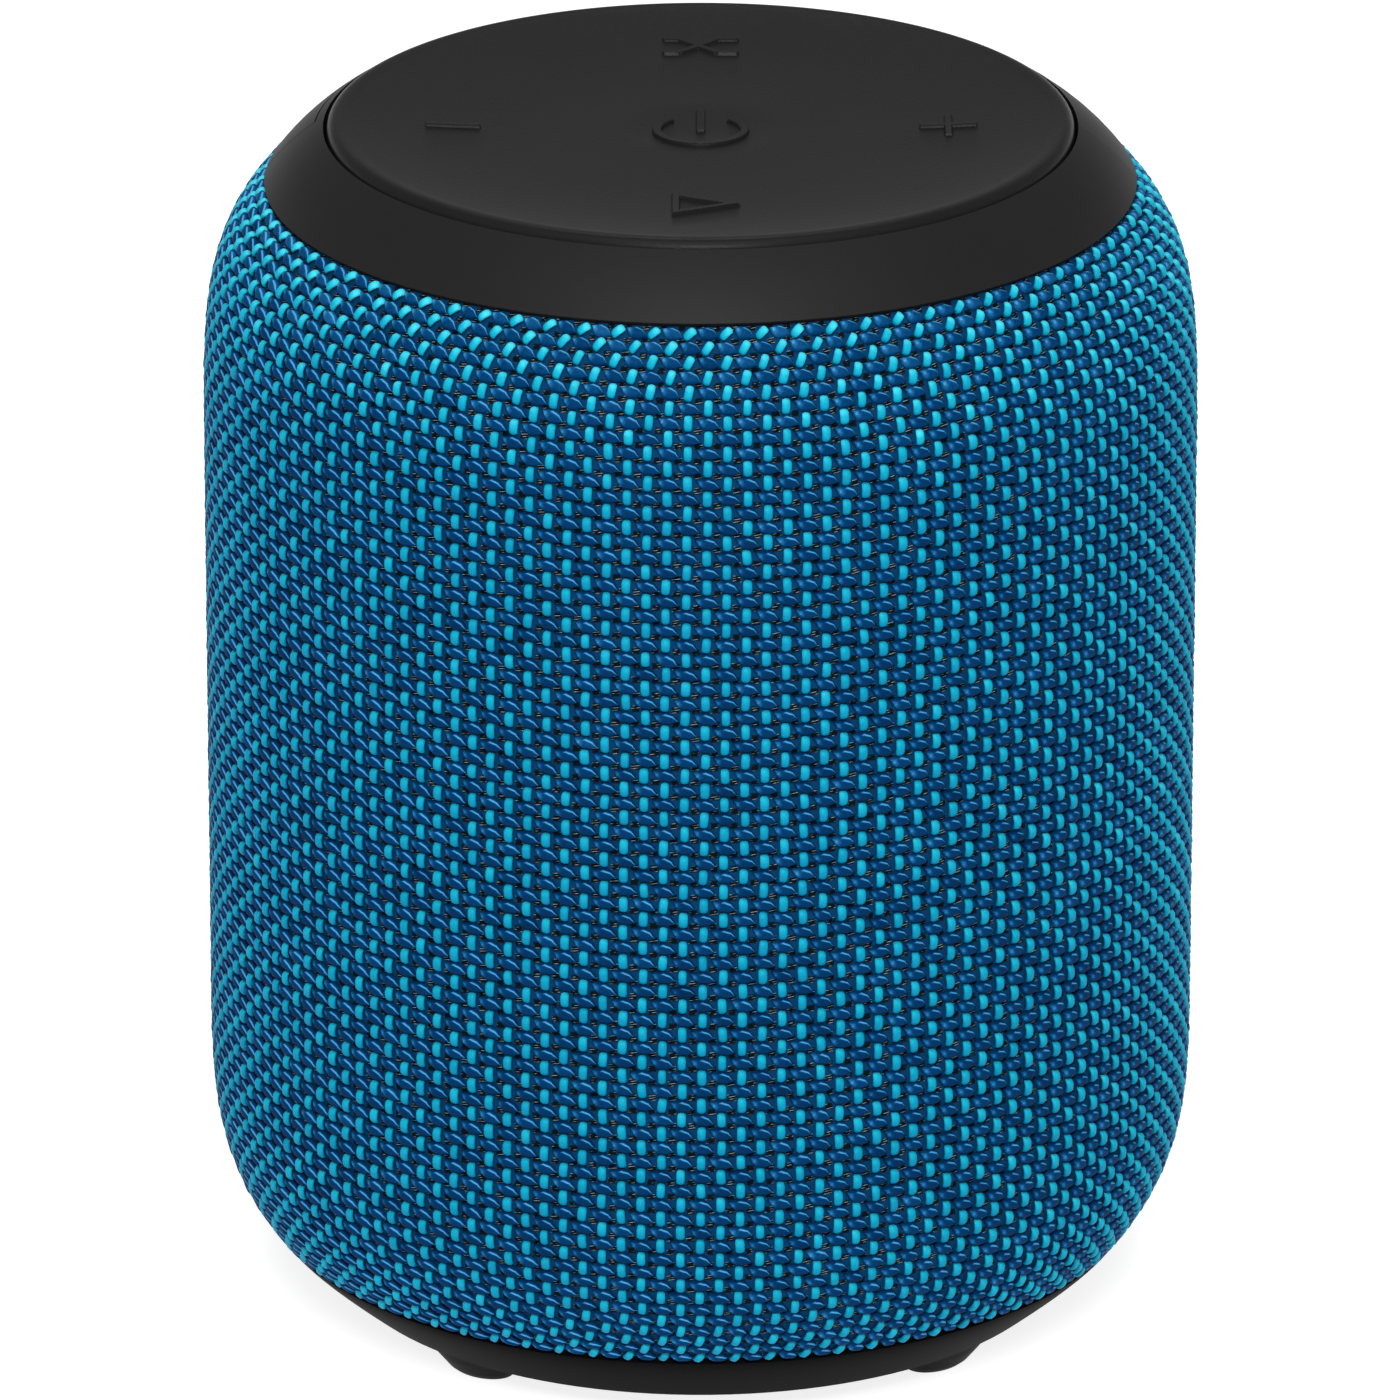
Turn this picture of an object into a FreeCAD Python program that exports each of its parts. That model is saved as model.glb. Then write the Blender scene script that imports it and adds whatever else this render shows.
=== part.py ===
"""Portable cylindrical speaker with a woven sleeve, a silicone keypad on top and an up-firing driver.

Frame: origin on the floor under the centre, +Z up, the play key at the front (-Y). Millimetres.
"""
import FreeCAD, Part
import math
import os

V = FreeCAD.Vector
UP = V(0, 0, 1)

# ---- driving dimensions -------------------------------------------------------------------------
BODY_R = 40.0              # widest radius, over the woven sleeve
CREST_Z = 100.6            # top of the keypad's rolled rim, the highest point
SLEEVE_TOP = (34.93, 95.56)     # radius and height of the sleeve's upper edge
SLEEVE_BOTTOM = (35.70, 7.65)   # radius and height of the sleeve's lower edge
SHOULDER_TOP_Z = 70.2      # the straight wall ends here and the upper shoulder begins
SHOULDER_LOW_Z = 26.7      # the lower shoulder begins here
SHOULDER_TOP_POWER = 4.9   # how late the upper shoulder turns in
SHOULDER_LOW_POWER = 3.5
SLEEVE_T = 0.8             # thickness of the woven sleeve
GRILLE_T = 1.6             # wall of the slotted tube behind it

BEZEL_TOP = (30.20, 100.02)     # inner lip of the sloping bezel, beside the keypad
BEZEL_T = 1.6
BEZEL_CROWN = 0.31         # how far the slope bulges between its edges
SKIRT_Z = 91.5             # lower end of the bezel's inner skirt

PAD_R = 29.95              # outside of the keypad
CREST_R = 29.04
DISH_DEPTH = 0.95          # the keypad's middle lies this far below its rim
DISH_POWER = 4.0
PAD_UNDERSIDE = 98.1
WELL_R = 7.0               # shallow round well round the power key
WELL_DEPTH = 0.30
KEY_R = 5.6
KEY_PITCH_R = 19.8         # the four outer keys stand on this circle
KEY_GAP = 0.12
KEY_TRAVEL = 0.35
MARK_HEIGHT = 0.28         # raised symbols
MARK_W = 0.62
POWER_RING_R = 3.88        # outside of the power symbol's broken ring
POWER_MARK_W = 0.76
POWER_GAP = 4.5            # half width of the ring's gap, 5 mm from its middle

SWITCH_TOP = 95.9          # top of a switch's moving stem
SWITCH_BODY_TOP = 95.1
STEM_BOTTOM = 94.4
STEM_R = 1.0
PLUNGER_R = 1.4
BOARD_TOP = 92.6           # button board, upper face
MAIN_BOARD_Z = 80.5
BOARD_T = 1.2
POST_R = 25.0
POST_ANGLES = (-45.0, 45.0, 165.0)
LEG_R = 31.0

PORT_FROM = -134.0         # azimuth of the port cover's hinge, 0 is the front, negative is the left
PORT_TO = -94.0            # azimuth of its free end
PORT_MID = (PORT_FROM + PORT_TO) / 2
COVER_T = 1.2
COVER_GAP = 0.12
COVER_TOP_S = 0.155        # the cover's edges, as shares of the slope's length
COVER_END_S = 0.985
SOCKET_S = 0.70            # where the sockets' axes cross the slope
WELL_FLOOR = 2.3           # depth of the port well under the slope
ISLAND_DEPTH = 2.15        # depth of the flat face round each socket
JACK_BORE_R = 1.8          # for a 3.5 mm plug
JACK_U = 5.5               # along the well from its middle
JACK_LENGTH = 12.5
JACK_RELIEF = 0.9          # wider chamber at the bottom of the audio socket
USB_U = -4.3
USB_V = 0.2                # the small socket sits a little higher on the slope

BASE_TOP = (35.45, 7.45)
BASE_BELLY = (34.9, 6.38)
BASE_EDGE = (30.09, 2.43)
BASE_OPENING_R = 21.0
BASE_SCREW_Z = 6.0         # seats of the screws that hold the base
BASE_T = 1.8
FOOT_ANGLES = (-42.8, 47.2, 137.2, -132.8)
FOOT_R = 26.8

CABINET_R = 36.0
CABINET_WALL = 1.5
CABINET_FLOOR_Z = 10.5
CABINET_SPLIT_Z = 40.0
CABINET_TOP_Z = 62.0
CABINET_BOSS_ANGLES = (30.0, 150.0, -30.0, -150.0)
CABINET_BOSS_R = 31.6
RADIATOR_PLATE_R = 14.0

DRIVER_Z = 62.5            # underside of the driver's flange, on its gasket
DRIVER_SCREW_R = 26.1
DRIVER_SCREW_ANGLES = (0.0, 90.0, 180.0, -90.0)

CELL_R = 9.25              # 18650 cell
CELL_LENGTH = 65.0
CELL_Z = 26.2

CHASSIS_FLOOR_Z = 77.5
LEG_ANGLES = (45.0, 135.0, -45.0, -135.0)
WIRE_R = 0.45
WIRE_X = (-1.6, -0.55, 0.55, 1.6)
WIRE_Y = 31.6              # the wires climb through holes on this line
WIRE_HOLE_R = 2.1

# ---- helpers ------------------------------------------------------------------------------------


def polar(radius, azimuth, z=0.0):
    """Point at an azimuth: 0 is the front (-Y), positive turns towards +X."""
    a = math.radians(azimuth)
    return V(radius * math.sin(a), -radius * math.cos(a), z)


def cylinder(radius, z0, z1, at=V(0, 0, 0)):
    return Part.makeCylinder(radius, z1 - z0, V(at.x, at.y, z0), UP)


def ring(r_in, r_out, z0, z1):
    return cylinder(r_out, z0, z1).cut(cylinder(r_in, z0 - 1, z1 + 1))


def box(x0, x1, y0, y1, z0, z1):
    return Part.makeBox(x1 - x0, y1 - y0, z1 - z0, V(x0, y0, z0))


def rz(point):
    return V(point[0], 0, point[1])


def lathe_edges(edges, start=None, sweep=360.0):
    """Revolve a closed outline of edges in the XZ plane; start and sweep are azimuths."""
    face = Part.Face(Part.Wire(edges))
    if start is None:
        return face.revolve(V(0, 0, 0), UP, 360.0)
    face.rotate(V(0, 0, 0), UP, start - 90.0)
    return face.revolve(V(0, 0, 0), UP, sweep)


def lathe(points, start=None, sweep=360.0):
    """Revolve a closed polygon of (radius, height) points."""
    loop = [rz(p) for p in points]
    edges = [Part.makeLine(a, b) for a, b in zip(loop, loop[1:] + loop[:1])]
    return lathe_edges(edges, start, sweep)


def arc3(a, b, c):
    return Part.Arc(rz(a), rz(b), rz(c)).toShape()


def line(a, b):
    return Part.makeLine(rz(a), rz(b))


def spline(points):
    curve = Part.BSplineCurve()
    curve.interpolate([rz(p) for p in points])
    return curve.toShape()


def prism(outline, z0, z1):
    loop = [V(x, y, z0) for x, y in outline]
    face = Part.Face(Part.makePolygon(loop + loop[:1]))
    return face.extrude(V(0, 0, z1 - z0))


def bar(start, end, width, z0, z1):
    """Upright slab along a segment, with round ends."""
    (x0, y0), (x1, y1) = start, end
    length = math.hypot(x1 - x0, y1 - y0)
    nx = -(y1 - y0) / length * width / 2
    ny = (x1 - x0) / length * width / 2
    slab = prism([(x0 + nx, y0 + ny), (x0 - nx, y0 - ny), (x1 - nx, y1 - ny), (x1 + nx, y1 + ny)], z0, z1)
    ends = [cylinder(width / 2, z0, z1, V(x, y, 0)) for x, y in (start, end)]
    return slab.fuse(ends).removeSplitter()


def wire_tube(points, radius, bend):
    """Round wire along a route, with a tangent arc at every corner."""
    edges = []
    here = points[0]
    for before, corner, after in zip(points, points[1:], points[2:]):
        a = (before - corner).normalize()
        b = (after - corner).normalize()
        half = a.getAngle(b) / 2
        run = bend / math.tan(half)
        enter = corner + a * run
        leave = corner + b * run
        middle_dir = (a + b).normalize()
        middle = corner + middle_dir * (bend / math.sin(half) - bend)
        edges.append(Part.makeLine(here, enter))
        edges.append(Part.Arc(enter, middle, leave).toShape())
        here = leave
    edges.append(Part.makeLine(here, points[-1]))
    path = Part.Wire(edges)
    circle = Part.Wire(Part.makeCircle(radius, points[0], points[1] - points[0]))
    return path.makePipeShell([circle], True, False)


def group(solids):
    return Part.makeCompound(solids)


def export(node, shape):
    shape.exportStep("parts/" + node + ".step")


# ---- outer profile ------------------------------------------------------------------------------


def sleeve_point(z, depth=0.0):
    """Point of the sleeve's outer surface at height z, moved inwards along its normal."""
    radius = BODY_R
    slope = 0.0
    if z > SHOULDER_TOP_Z:
        span = SLEEVE_TOP[1] - SHOULDER_TOP_Z
        s = (z - SHOULDER_TOP_Z) / span
        drop = BODY_R - SLEEVE_TOP[0]
        radius -= drop * s ** SHOULDER_TOP_POWER
        slope = -drop * SHOULDER_TOP_POWER / span * s ** (SHOULDER_TOP_POWER - 1)
    if z < SHOULDER_LOW_Z:
        span = SHOULDER_LOW_Z - SLEEVE_BOTTOM[1]
        s = (SHOULDER_LOW_Z - z) / span
        drop = BODY_R - SLEEVE_BOTTOM[0]
        radius -= drop * s ** SHOULDER_LOW_POWER
        slope = drop * SHOULDER_LOW_POWER / span * s ** (SHOULDER_LOW_POWER - 1)
    norm = math.hypot(1.0, slope)
    return (radius - depth / norm, z + depth * slope / norm)


def wall_curve(depth):
    """The profile's three stretches at a depth, from the lower edge to the upper one."""
    stations = 10
    low_span = SHOULDER_LOW_Z - SLEEVE_BOTTOM[1]
    top_span = SLEEVE_TOP[1] - SHOULDER_TOP_Z
    low = [sleeve_point(SLEEVE_BOTTOM[1] + low_span * i / stations, depth) for i in range(stations + 1)]
    top = [sleeve_point(SHOULDER_TOP_Z + top_span * i / stations, depth) for i in range(stations + 1)]
    return [spline(low), line(low[-1], top[0]), spline(top)], low[0], top[-1]


def sleeve_end(depth):
    """Point of the sleeve's upper end face, which the bezel meets."""
    return sleeve_point(SLEEVE_TOP[1], depth)


def wall_shell(depth0, depth1):
    outer, outer_low, outer_top = wall_curve(depth0)
    inner, inner_low, inner_top = wall_curve(depth1)
    ends = [line(outer_top, inner_top), line(inner_low, outer_low)]
    return lathe_edges(outer + [ends[0]] + inner[::-1] + [ends[1]])


SLOPE_LENGTH = math.hypot(SLEEVE_TOP[0] - BEZEL_TOP[0], BEZEL_TOP[1] - SLEEVE_TOP[1])
SLOPE_DOWN = ((SLEEVE_TOP[0] - BEZEL_TOP[0]) / SLOPE_LENGTH, (SLEEVE_TOP[1] - BEZEL_TOP[1]) / SLOPE_LENGTH)
SLOPE_OUT = (-SLOPE_DOWN[1], SLOPE_DOWN[0])


def slope_point(s, depth=0.0):
    """Point on the bezel's slope: s is 0 at the keypad and 1 at the sleeve."""
    out = BEZEL_CROWN * 4 * s * (1 - s) - depth
    radius = BEZEL_TOP[0] + SLOPE_DOWN[0] * SLOPE_LENGTH * s + SLOPE_OUT[0] * out
    height = BEZEL_TOP[1] + SLOPE_DOWN[1] * SLOPE_LENGTH * s + SLOPE_OUT[1] * out
    return (radius, height)


def slope_section(s0, s1, depth0, depth1):
    """Closed outline between two depths under the slope."""
    mid = (s0 + s1) / 2
    a, b, c = slope_point(s0, depth0), slope_point(mid, depth0), slope_point(s1, depth0)
    d, e, f = slope_point(s1, depth1), slope_point(mid, depth1), slope_point(s0, depth1)
    return [arc3(a, b, c), line(c, d), arc3(d, e, f), line(f, a)]


def port_placement():
    """Frame of the sockets: X along the well, Y up the slope, Z straight out of it, origin on the slope."""
    x_dir = polar(1, PORT_MID + 90.0)
    radial = polar(1, PORT_MID)
    z_dir = radial * SLOPE_OUT[0] + UP * SLOPE_OUT[1]
    y_dir = radial * -SLOPE_DOWN[0] + UP * -SLOPE_DOWN[1]
    radius, height = slope_point(SOCKET_S)
    at = radial * radius + UP * height
    matrix = FreeCAD.Matrix(x_dir.x, y_dir.x, z_dir.x, at.x,
                            x_dir.y, y_dir.y, z_dir.y, at.y,
                            x_dir.z, y_dir.z, z_dir.z, at.z,
                            0, 0, 0, 1)
    return FreeCAD.Placement(matrix)


def in_port_frame(shape):
    placed = shape.copy()
    placed.Placement = port_placement().multiply(shape.Placement)
    return placed


def port_box(x0, x1, y0, y1, deep, shallow):
    """Box in the sockets' frame, given by its depths under the slope."""
    return in_port_frame(box(x0, x1, y0, y1, -deep, -shallow))


def port_cylinder(radius, x, deep, shallow):
    return in_port_frame(cylinder(radius, -deep, -shallow, V(x, 0, 0)))


# ---- keypad -------------------------------------------------------------------------------------


def key_centre(azimuth):
    return polar(KEY_PITCH_R, azimuth)


def dish_height(radius):
    return CREST_Z - DISH_DEPTH * (1 - (radius / CREST_R) ** DISH_POWER)


def pad_blank():
    """Keypad before it is divided: dished top, rolled rim, shallow well in the middle."""
    well_points = []
    for i in range(7):
        r = WELL_R * i / 6
        fall = WELL_DEPTH * 0.5 * (1 + math.cos(math.pi * i / 6))
        well_points.append((r, dish_height(r) - fall))
    dish_end = CREST_R - 0.9
    dish_points = []
    for i in range(9):
        r = WELL_R + (dish_end - WELL_R) * i / 8
        dish_points.append((r, dish_height(r)))
    crest = (CREST_R, CREST_Z)
    shoulder = (PAD_R - 0.22, CREST_Z - 0.32)
    edge = (PAD_R, CREST_Z - 0.85)
    crest_in = (CREST_R - 0.42, CREST_Z - 0.045)
    edges = [
        spline(well_points),
        spline(dish_points),
        arc3(dish_points[-1], crest_in, crest),
        arc3(crest, shoulder, edge),
        line(edge, (PAD_R, PAD_UNDERSIDE)),
        line((PAD_R, PAD_UNDERSIDE), (0, PAD_UNDERSIDE)),
        line((0, PAD_UNDERSIDE), well_points[0]),
    ]
    return lathe_edges(edges)


def mark_power():
    """Broken ring with a bar in its gap."""
    z0, z1 = PAD_UNDERSIDE + 0.3, CREST_Z + 1
    arc = ring(POWER_RING_R - POWER_MARK_W, POWER_RING_R, z0, z1)
    arc = arc.cut(prism([(0, 0), (-POWER_GAP, 5), (POWER_GAP, 5)], z0 - 1, z1 + 1))
    arc.translate(V(0, -0.15, 0))
    return arc.fuse(bar((0, -0.05), (0, 4.4), POWER_MARK_W, z0, z1))


def mark_play():
    """Outlined triangle that points to the right."""
    z0, z1 = PAD_UNDERSIDE + 0.3, CREST_Z + 1
    cx, cy = 0.4, -19.3
    left, tip = cx - 2.5, cx + 2.6
    half = 2.3
    corners = [(left, cy - half), (left, cy + half), (tip, cy)]
    sides = zip(corners, corners[1:] + corners[:1])
    bars = [bar(a, b, MARK_W, z0, z1) for a, b in sides]
    return bars[0].fuse(bars[1:])


def mark_minus():
    z0, z1 = PAD_UNDERSIDE + 0.3, CREST_Z + 1
    centre = key_centre(-90)
    return bar((centre.x - 2.2, 0), (centre.x + 2.2, 0), MARK_W, z0, z1)


def mark_plus():
    z0, z1 = PAD_UNDERSIDE + 0.3, CREST_Z + 1
    centre = key_centre(90)
    level = bar((centre.x - 2.3, 0), (centre.x + 2.3, 0), MARK_W, z0, z1)
    return level.fuse(bar((centre.x, -2.3), (centre.x, 2.3), MARK_W, z0, z1))


def mark_pairing():
    """Two crossed strokes with short hooks, a plain sign for linking devices."""
    z0, z1 = PAD_UNDERSIDE + 0.3, CREST_Z + 1
    centre = key_centre(180)
    cx, cy = centre.x, centre.y
    strokes = [
        ((cx - 3.1, cy - 1.5), (cx - 1.7, cy - 1.5)),
        ((cx - 1.7, cy - 1.5), (cx + 1.3, cy + 1.5)),
        ((cx + 1.3, cy + 1.5), (cx + 3.1, cy + 1.5)),
        ((cx - 3.1, cy + 1.5), (cx - 1.7, cy + 1.5)),
        ((cx - 1.7, cy + 1.5), (cx + 1.3, cy - 1.5)),
        ((cx + 1.3, cy - 1.5), (cx + 3.1, cy - 1.5)),
    ]
    bars = [bar(a, b, MARK_W, z0, z1) for a, b in strokes]
    return bars[0].fuse(bars[1:])


KEYS = {
    "power": (V(0, 0, 0), WELL_R, mark_power),
    "play": (key_centre(0), KEY_R, mark_play),
    "volume_down": (key_centre(-90), KEY_R, mark_minus),
    "volume_up": (key_centre(90), KEY_R, mark_plus),
    "pairing": (key_centre(180), KEY_R, mark_pairing),
}


def make_keypad():
    blank = pad_blank()
    raised = blank.copy()
    raised.translate(V(0, 0, MARK_HEIGHT))
    pad = blank
    for name, (centre, radius, mark) in KEYS.items():
        plug = cylinder(radius, PAD_UNDERSIDE - 1, CREST_Z + 1, centre)
        disc = blank.common(plug)
        symbol = raised.common(mark())
        plunger = cylinder(PLUNGER_R, SWITCH_TOP, PAD_UNDERSIDE, centre)
        export("key_" + name, disc.fuse([symbol, plunger]).removeSplitter())
        stem = cylinder(STEM_R, STEM_BOTTOM, SWITCH_TOP, centre)
        export("switch_stem_" + name, stem)
        pad = pad.cut(cylinder(radius + KEY_GAP, PAD_UNDERSIDE - 1, CREST_Z + 1, centre))
    export("top_pad", pad)


def port_clearance(margin):
    """Room that the boards and the carrier leave for the port well and its sockets."""
    well = lathe([(27.0, 90.0), (36.0, 90.0), (36.0, 99.0), (27.0, 97.4)], PORT_FROM - 3, 46.0)
    jack = port_box(JACK_U - 3.1 - margin, JACK_U + 3.1 + margin, -2.5 - margin, 2.5 + margin, 16.0, 2.0)
    usb = port_box(USB_U - 3.9 - margin, USB_U + 3.9 + margin, -1.5 - margin, 1.5 + margin, 9.0, 2.0)
    return well.fuse([jack, usb])


def post_holes(radius, z0, z1):
    return [cylinder(radius, z0, z1, polar(POST_R, a)) for a in POST_ANGLES]


def make_pad_carrier():
    """Rigid plate under the keypad, recessed under each key, with guide holes for the plungers."""
    plate = cylinder(29.85, PAD_UNDERSIDE - 1.5, PAD_UNDERSIDE)
    rim = ring(28.4, 29.85, BOARD_TOP, PAD_UNDERSIDE - 1.5)
    posts = [cylinder(2.6, BOARD_TOP, PAD_UNDERSIDE - 1.5, polar(POST_R, a)) for a in POST_ANGLES]
    body = plate.fuse([rim] + posts)
    for centre, radius, _ in KEYS.values():
        recess = cylinder(radius + 0.4, PAD_UNDERSIDE - KEY_TRAVEL - 0.15, PAD_UNDERSIDE + 1, centre)
        guide = cylinder(PLUNGER_R + 0.3, BOARD_TOP, PAD_UNDERSIDE, centre)
        body = body.cut(recess.fuse(guide))
    for hole in post_holes(1.15, BOARD_TOP - 1, PAD_UNDERSIDE + 1) + post_holes(2.2, 97.0, PAD_UNDERSIDE + 1):
        body = body.cut(hole)
    export("pad_carrier", body.cut(port_clearance(0.3)))


def make_button_board():
    board = cylinder(28.0, BOARD_TOP - BOARD_T, BOARD_TOP)
    board = board.cut(port_notch(21.9))
    for hole in post_holes(1.15, BOARD_TOP - 3, BOARD_TOP + 1):
        board = board.cut(hole)
    export("button_board", board)
    half = 2.25
    switches = []
    for centre, _, _ in KEYS.values():
        body = box(centre.x - half, centre.x + half, centre.y - half, centre.y + half, BOARD_TOP, SWITCH_BODY_TOP)
        socket = cylinder(STEM_R + 0.06, STEM_BOTTOM - KEY_TRAVEL - 0.2, SWITCH_TOP, centre)
        switches.append(body.cut(socket))
    export("tact_switches", group(switches))


def port_notch(distance):
    """Everything further out than a chord, on the side of the ports."""
    slab = box(-40, 40, -60, -distance, CHASSIS_FLOOR_Z, CREST_Z)
    slab.rotate(V(0, 0, 0), UP, PORT_MID)
    return slab


# ---- bezel, port cover and sockets --------------------------------------------------------------


def make_bezel():
    outer = arc3(BEZEL_TOP, slope_point(0.5), SLEEVE_TOP)
    low_in = sleeve_end(BEZEL_T)
    neck = slope_point(0.30, BEZEL_T)
    skirt_out = (neck[0], SKIRT_Z)
    skirt_in = (BEZEL_TOP[0] - 0.02, SKIRT_Z)
    top_in = (BEZEL_TOP[0] - 0.02, BEZEL_TOP[1] - 0.12)
    edges = [
        outer,
        line(SLEEVE_TOP, low_in),
        line(low_in, neck),
        line(neck, skirt_out),
        line(skirt_out, skirt_in),
        line(skirt_in, top_in),
        line(top_in, BEZEL_TOP),
    ]
    shell = lathe_edges(edges)
    floor_bottom = WELL_FLOOR + 1.1
    lip_r = slope_point(COVER_TOP_S)[0] - COVER_GAP
    block = lathe([
        slope_point(0.1, 0.6),
        sleeve_end(0.6),
        sleeve_end(floor_bottom),
        (BEZEL_TOP[0] - 0.02, slope_point(0.35, floor_bottom)[1]),
        (BEZEL_TOP[0] - 0.02, slope_point(0.1, 0.6)[1]),
    ], PORT_FROM - 1.8, PORT_TO - PORT_FROM + 3.6)
    floor_in = slope_point(0.30, WELL_FLOOR)
    well = lathe([
        (lip_r, CREST_Z + 1),
        (37.0, CREST_Z + 1),
        (37.0, SLEEVE_TOP[1]),
        slope_point(1.03),
        slope_point(1.05, WELL_FLOOR),
        (lip_r, floor_in[1] - (lip_r - floor_in[0]) * -SLOPE_DOWN[1] / SLOPE_DOWN[0]),
    ], PORT_FROM, PORT_TO - PORT_FROM)
    body = shell.fuse(block).cut(well)
    island_edge = lathe([
        (lip_r - 0.4, slope_point(0.3, floor_bottom)[1]),
        slope_point(0.35, 0.5),
        sleeve_end(0.5),
        sleeve_end(floor_bottom),
    ], PORT_FROM, PORT_TO - PORT_FROM)
    islands = [
        port_cylinder(2.3, JACK_U, floor_bottom, ISLAND_DEPTH),
        port_box(USB_U - 4.1, USB_U + 4.1, USB_V - 1.75, USB_V + 1.75, floor_bottom, ISLAND_DEPTH),
    ]
    body = body.fuse([i.common(island_edge) for i in islands])
    body = body.cut(port_cylinder(JACK_BORE_R, JACK_U, 20.0, 0.0))
    body = body.cut(port_box(USB_U - 3.75, USB_U + 3.75, USB_V - 1.3, USB_V + 1.3, 20.0, 0.0))
    body = body.cut(port_box(-11.4, 11.4, 1.2, 2.4, 17.0, 5.9))
    behind = port_cylinder(2.45, JACK_U, 8.0, floor_bottom)
    body = body.cut(behind)
    body = body.cut(port_box(JACK_U - 3.3, JACK_U + 3.3, -2.7, 2.7, 14.0, 5.3))
    export("top_bezel", body)


def make_port_cover():
    """Rubber flap over the sockets; it swings about its rear end."""
    side = math.degrees(COVER_GAP / 33.0)
    skin = lathe_edges(slope_section(COVER_TOP_S, COVER_END_S, 0.0, COVER_T),
                       PORT_FROM + 1.5 * side, PORT_TO - PORT_FROM - 2.5 * side)
    lip_r = slope_point(COVER_TOP_S)[0]
    skin = skin.cut(cylinder(lip_r, 90, CREST_Z + 1))
    bosses = [
        port_cylinder(1.3, JACK_U, ISLAND_DEPTH - 0.05, 0.9),
        port_box(USB_U - 3.0, USB_U + 3.0, USB_V - 0.8, USB_V + 0.8, ISLAND_DEPTH - 0.05, 0.9),
    ]
    trimmed = [b.cut(cylinder(lip_r, 90, CREST_Z + 1)) for b in bosses]
    export("port_cover", skin.fuse(trimmed).removeSplitter())


def make_sockets():
    face = ISLAND_DEPTH + 1.35
    body_start = 5.5
    body = port_box(JACK_U - 3.1, JACK_U + 3.1, -2.5, 2.5, ISLAND_DEPTH + JACK_LENGTH, body_start)
    nose = port_cylinder(2.3, JACK_U, body_start, face)
    bottom = ISLAND_DEPTH + JACK_LENGTH - 1.0
    hole = port_cylinder(JACK_BORE_R, JACK_U, bottom, 0.0)
    chamber = port_cylinder(JACK_BORE_R + 0.25, JACK_U, bottom, bottom - JACK_RELIEF)
    export("aux_jack", body.fuse(nose).cut([hole, chamber]))

    shell = port_box(USB_U - 3.7, USB_U + 3.7, USB_V - 1.25, USB_V + 1.25, 8.6, ISLAND_DEPTH)
    mouth = port_box(USB_U - 3.45, USB_U + 3.45, USB_V - 1.0, USB_V + 1.0, 8.3, 0.0)
    export("usb_shell", shell.cut(mouth))
    pin_places = (-1.3, -0.65, 0, 0.65, 1.3)
    pins = [port_box(USB_U + x - 0.2, USB_U + x + 0.2, -0.6, 1.5, 9.4, 8.7) for x in pin_places]
    tongue = port_box(USB_U - 2.6, USB_U + 2.6, USB_V - 0.2, USB_V + 0.4, 8.3, ISLAND_DEPTH + 0.6)
    export("usb_contacts", group([tongue] + pins))

    board = port_box(-11.0, 11.0, 1.5, 2.2, 16.0, 6.2)
    board = board.cut(port_box(JACK_U - 3.2, JACK_U + 3.2, -2.6, 2.6, 17.0, 5.0))
    export("port_board", board)


# ---- boards -------------------------------------------------------------------------------------


def make_main_board():
    board = cylinder(27.0, MAIN_BOARD_Z, MAIN_BOARD_Z + BOARD_T)
    for hole in post_holes(2.9, MAIN_BOARD_Z - 1, MAIN_BOARD_Z + 3):
        board = board.cut(hole)
    export("main_board", board)
    top = MAIN_BOARD_Z + BOARD_T
    chips = [
        box(-10, -3, -8, -1, top, top + 0.9),
        box(2, 8, -14, -8, top, top + 0.9),
        box(-16, -12, -6, -2, top, top + 0.8),
        box(-4, 0, 4, 8, top, top + 0.8),
    ]
    capacitors = [
        cylinder(2.5, top, top + 5.5, V(12, -10, 0)),
        cylinder(2.5, top, top + 5.5, V(17, -7, 0)),
        cylinder(1.6, top, top + 4.0, V(-8, -14, 0)),
    ]
    inductors = [
        box(-1, 5, -5, 1, top, top + 3.0),
        box(7, 12, -3, 2, top, top + 3.0),
    ]
    export("board_components", group(chips + capacitors + inductors))
    export("wireless_module", box(-9, 2, 13, 24, top, top + 2.0))
    export("board_sockets", group([
        box(14, 16, 6, 14, top, top + 1.6),
        box(14, 16, 6, 14, BOARD_TOP - BOARD_T - 1.6, BOARD_TOP - BOARD_T),
        port_box(-8.0, 0.0, 0.0, 1.5, 15.6, 13.4),
        box(-8, -3, 9, 12, top, top + 3.0),
        box(-0.6, 3.8, 9, 12, top, top + 3.0),
    ]))
    key_ribbon = box(14.85, 15.15, 6.5, 13.5, top + 1.6, BOARD_TOP - BOARD_T - 1.6)
    export("ribbon_leads", group([key_ribbon, port_ribbon()]))


def port_ribbon():
    """Flat lead from the port board to the main board, bent once."""
    radial = polar(1, PORT_MID)
    start_r, start_z = slope_point(SOCKET_S, 15.6)
    lift = 0.85
    start = (start_r - SLOPE_DOWN[0] * lift, start_z - SLOPE_DOWN[1] * lift)
    end = (start[0] - 2.4, MAIN_BOARD_Z + BOARD_T)
    thick = 0.3
    outline = [start, (start[0] - 1.6, start[1] - 1.7), (end[0], end[1]),
               (end[0] - thick, end[1]), (start[0] - 1.6 - thick, start[1] - 1.6),
               (start[0] - SLOPE_DOWN[0] * thick, start[1] - SLOPE_DOWN[1] * thick)]
    points = [radial * r + UP * z for r, z in outline]
    along = polar(1, PORT_MID + 90.0)
    face = Part.Face(Part.makePolygon(points + points[:1]))
    strip = face.extrude(along * 6.0)
    strip.translate(along * -7.0)
    return strip


# ---- chassis and diffuser -----------------------------------------------------------------------


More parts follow.
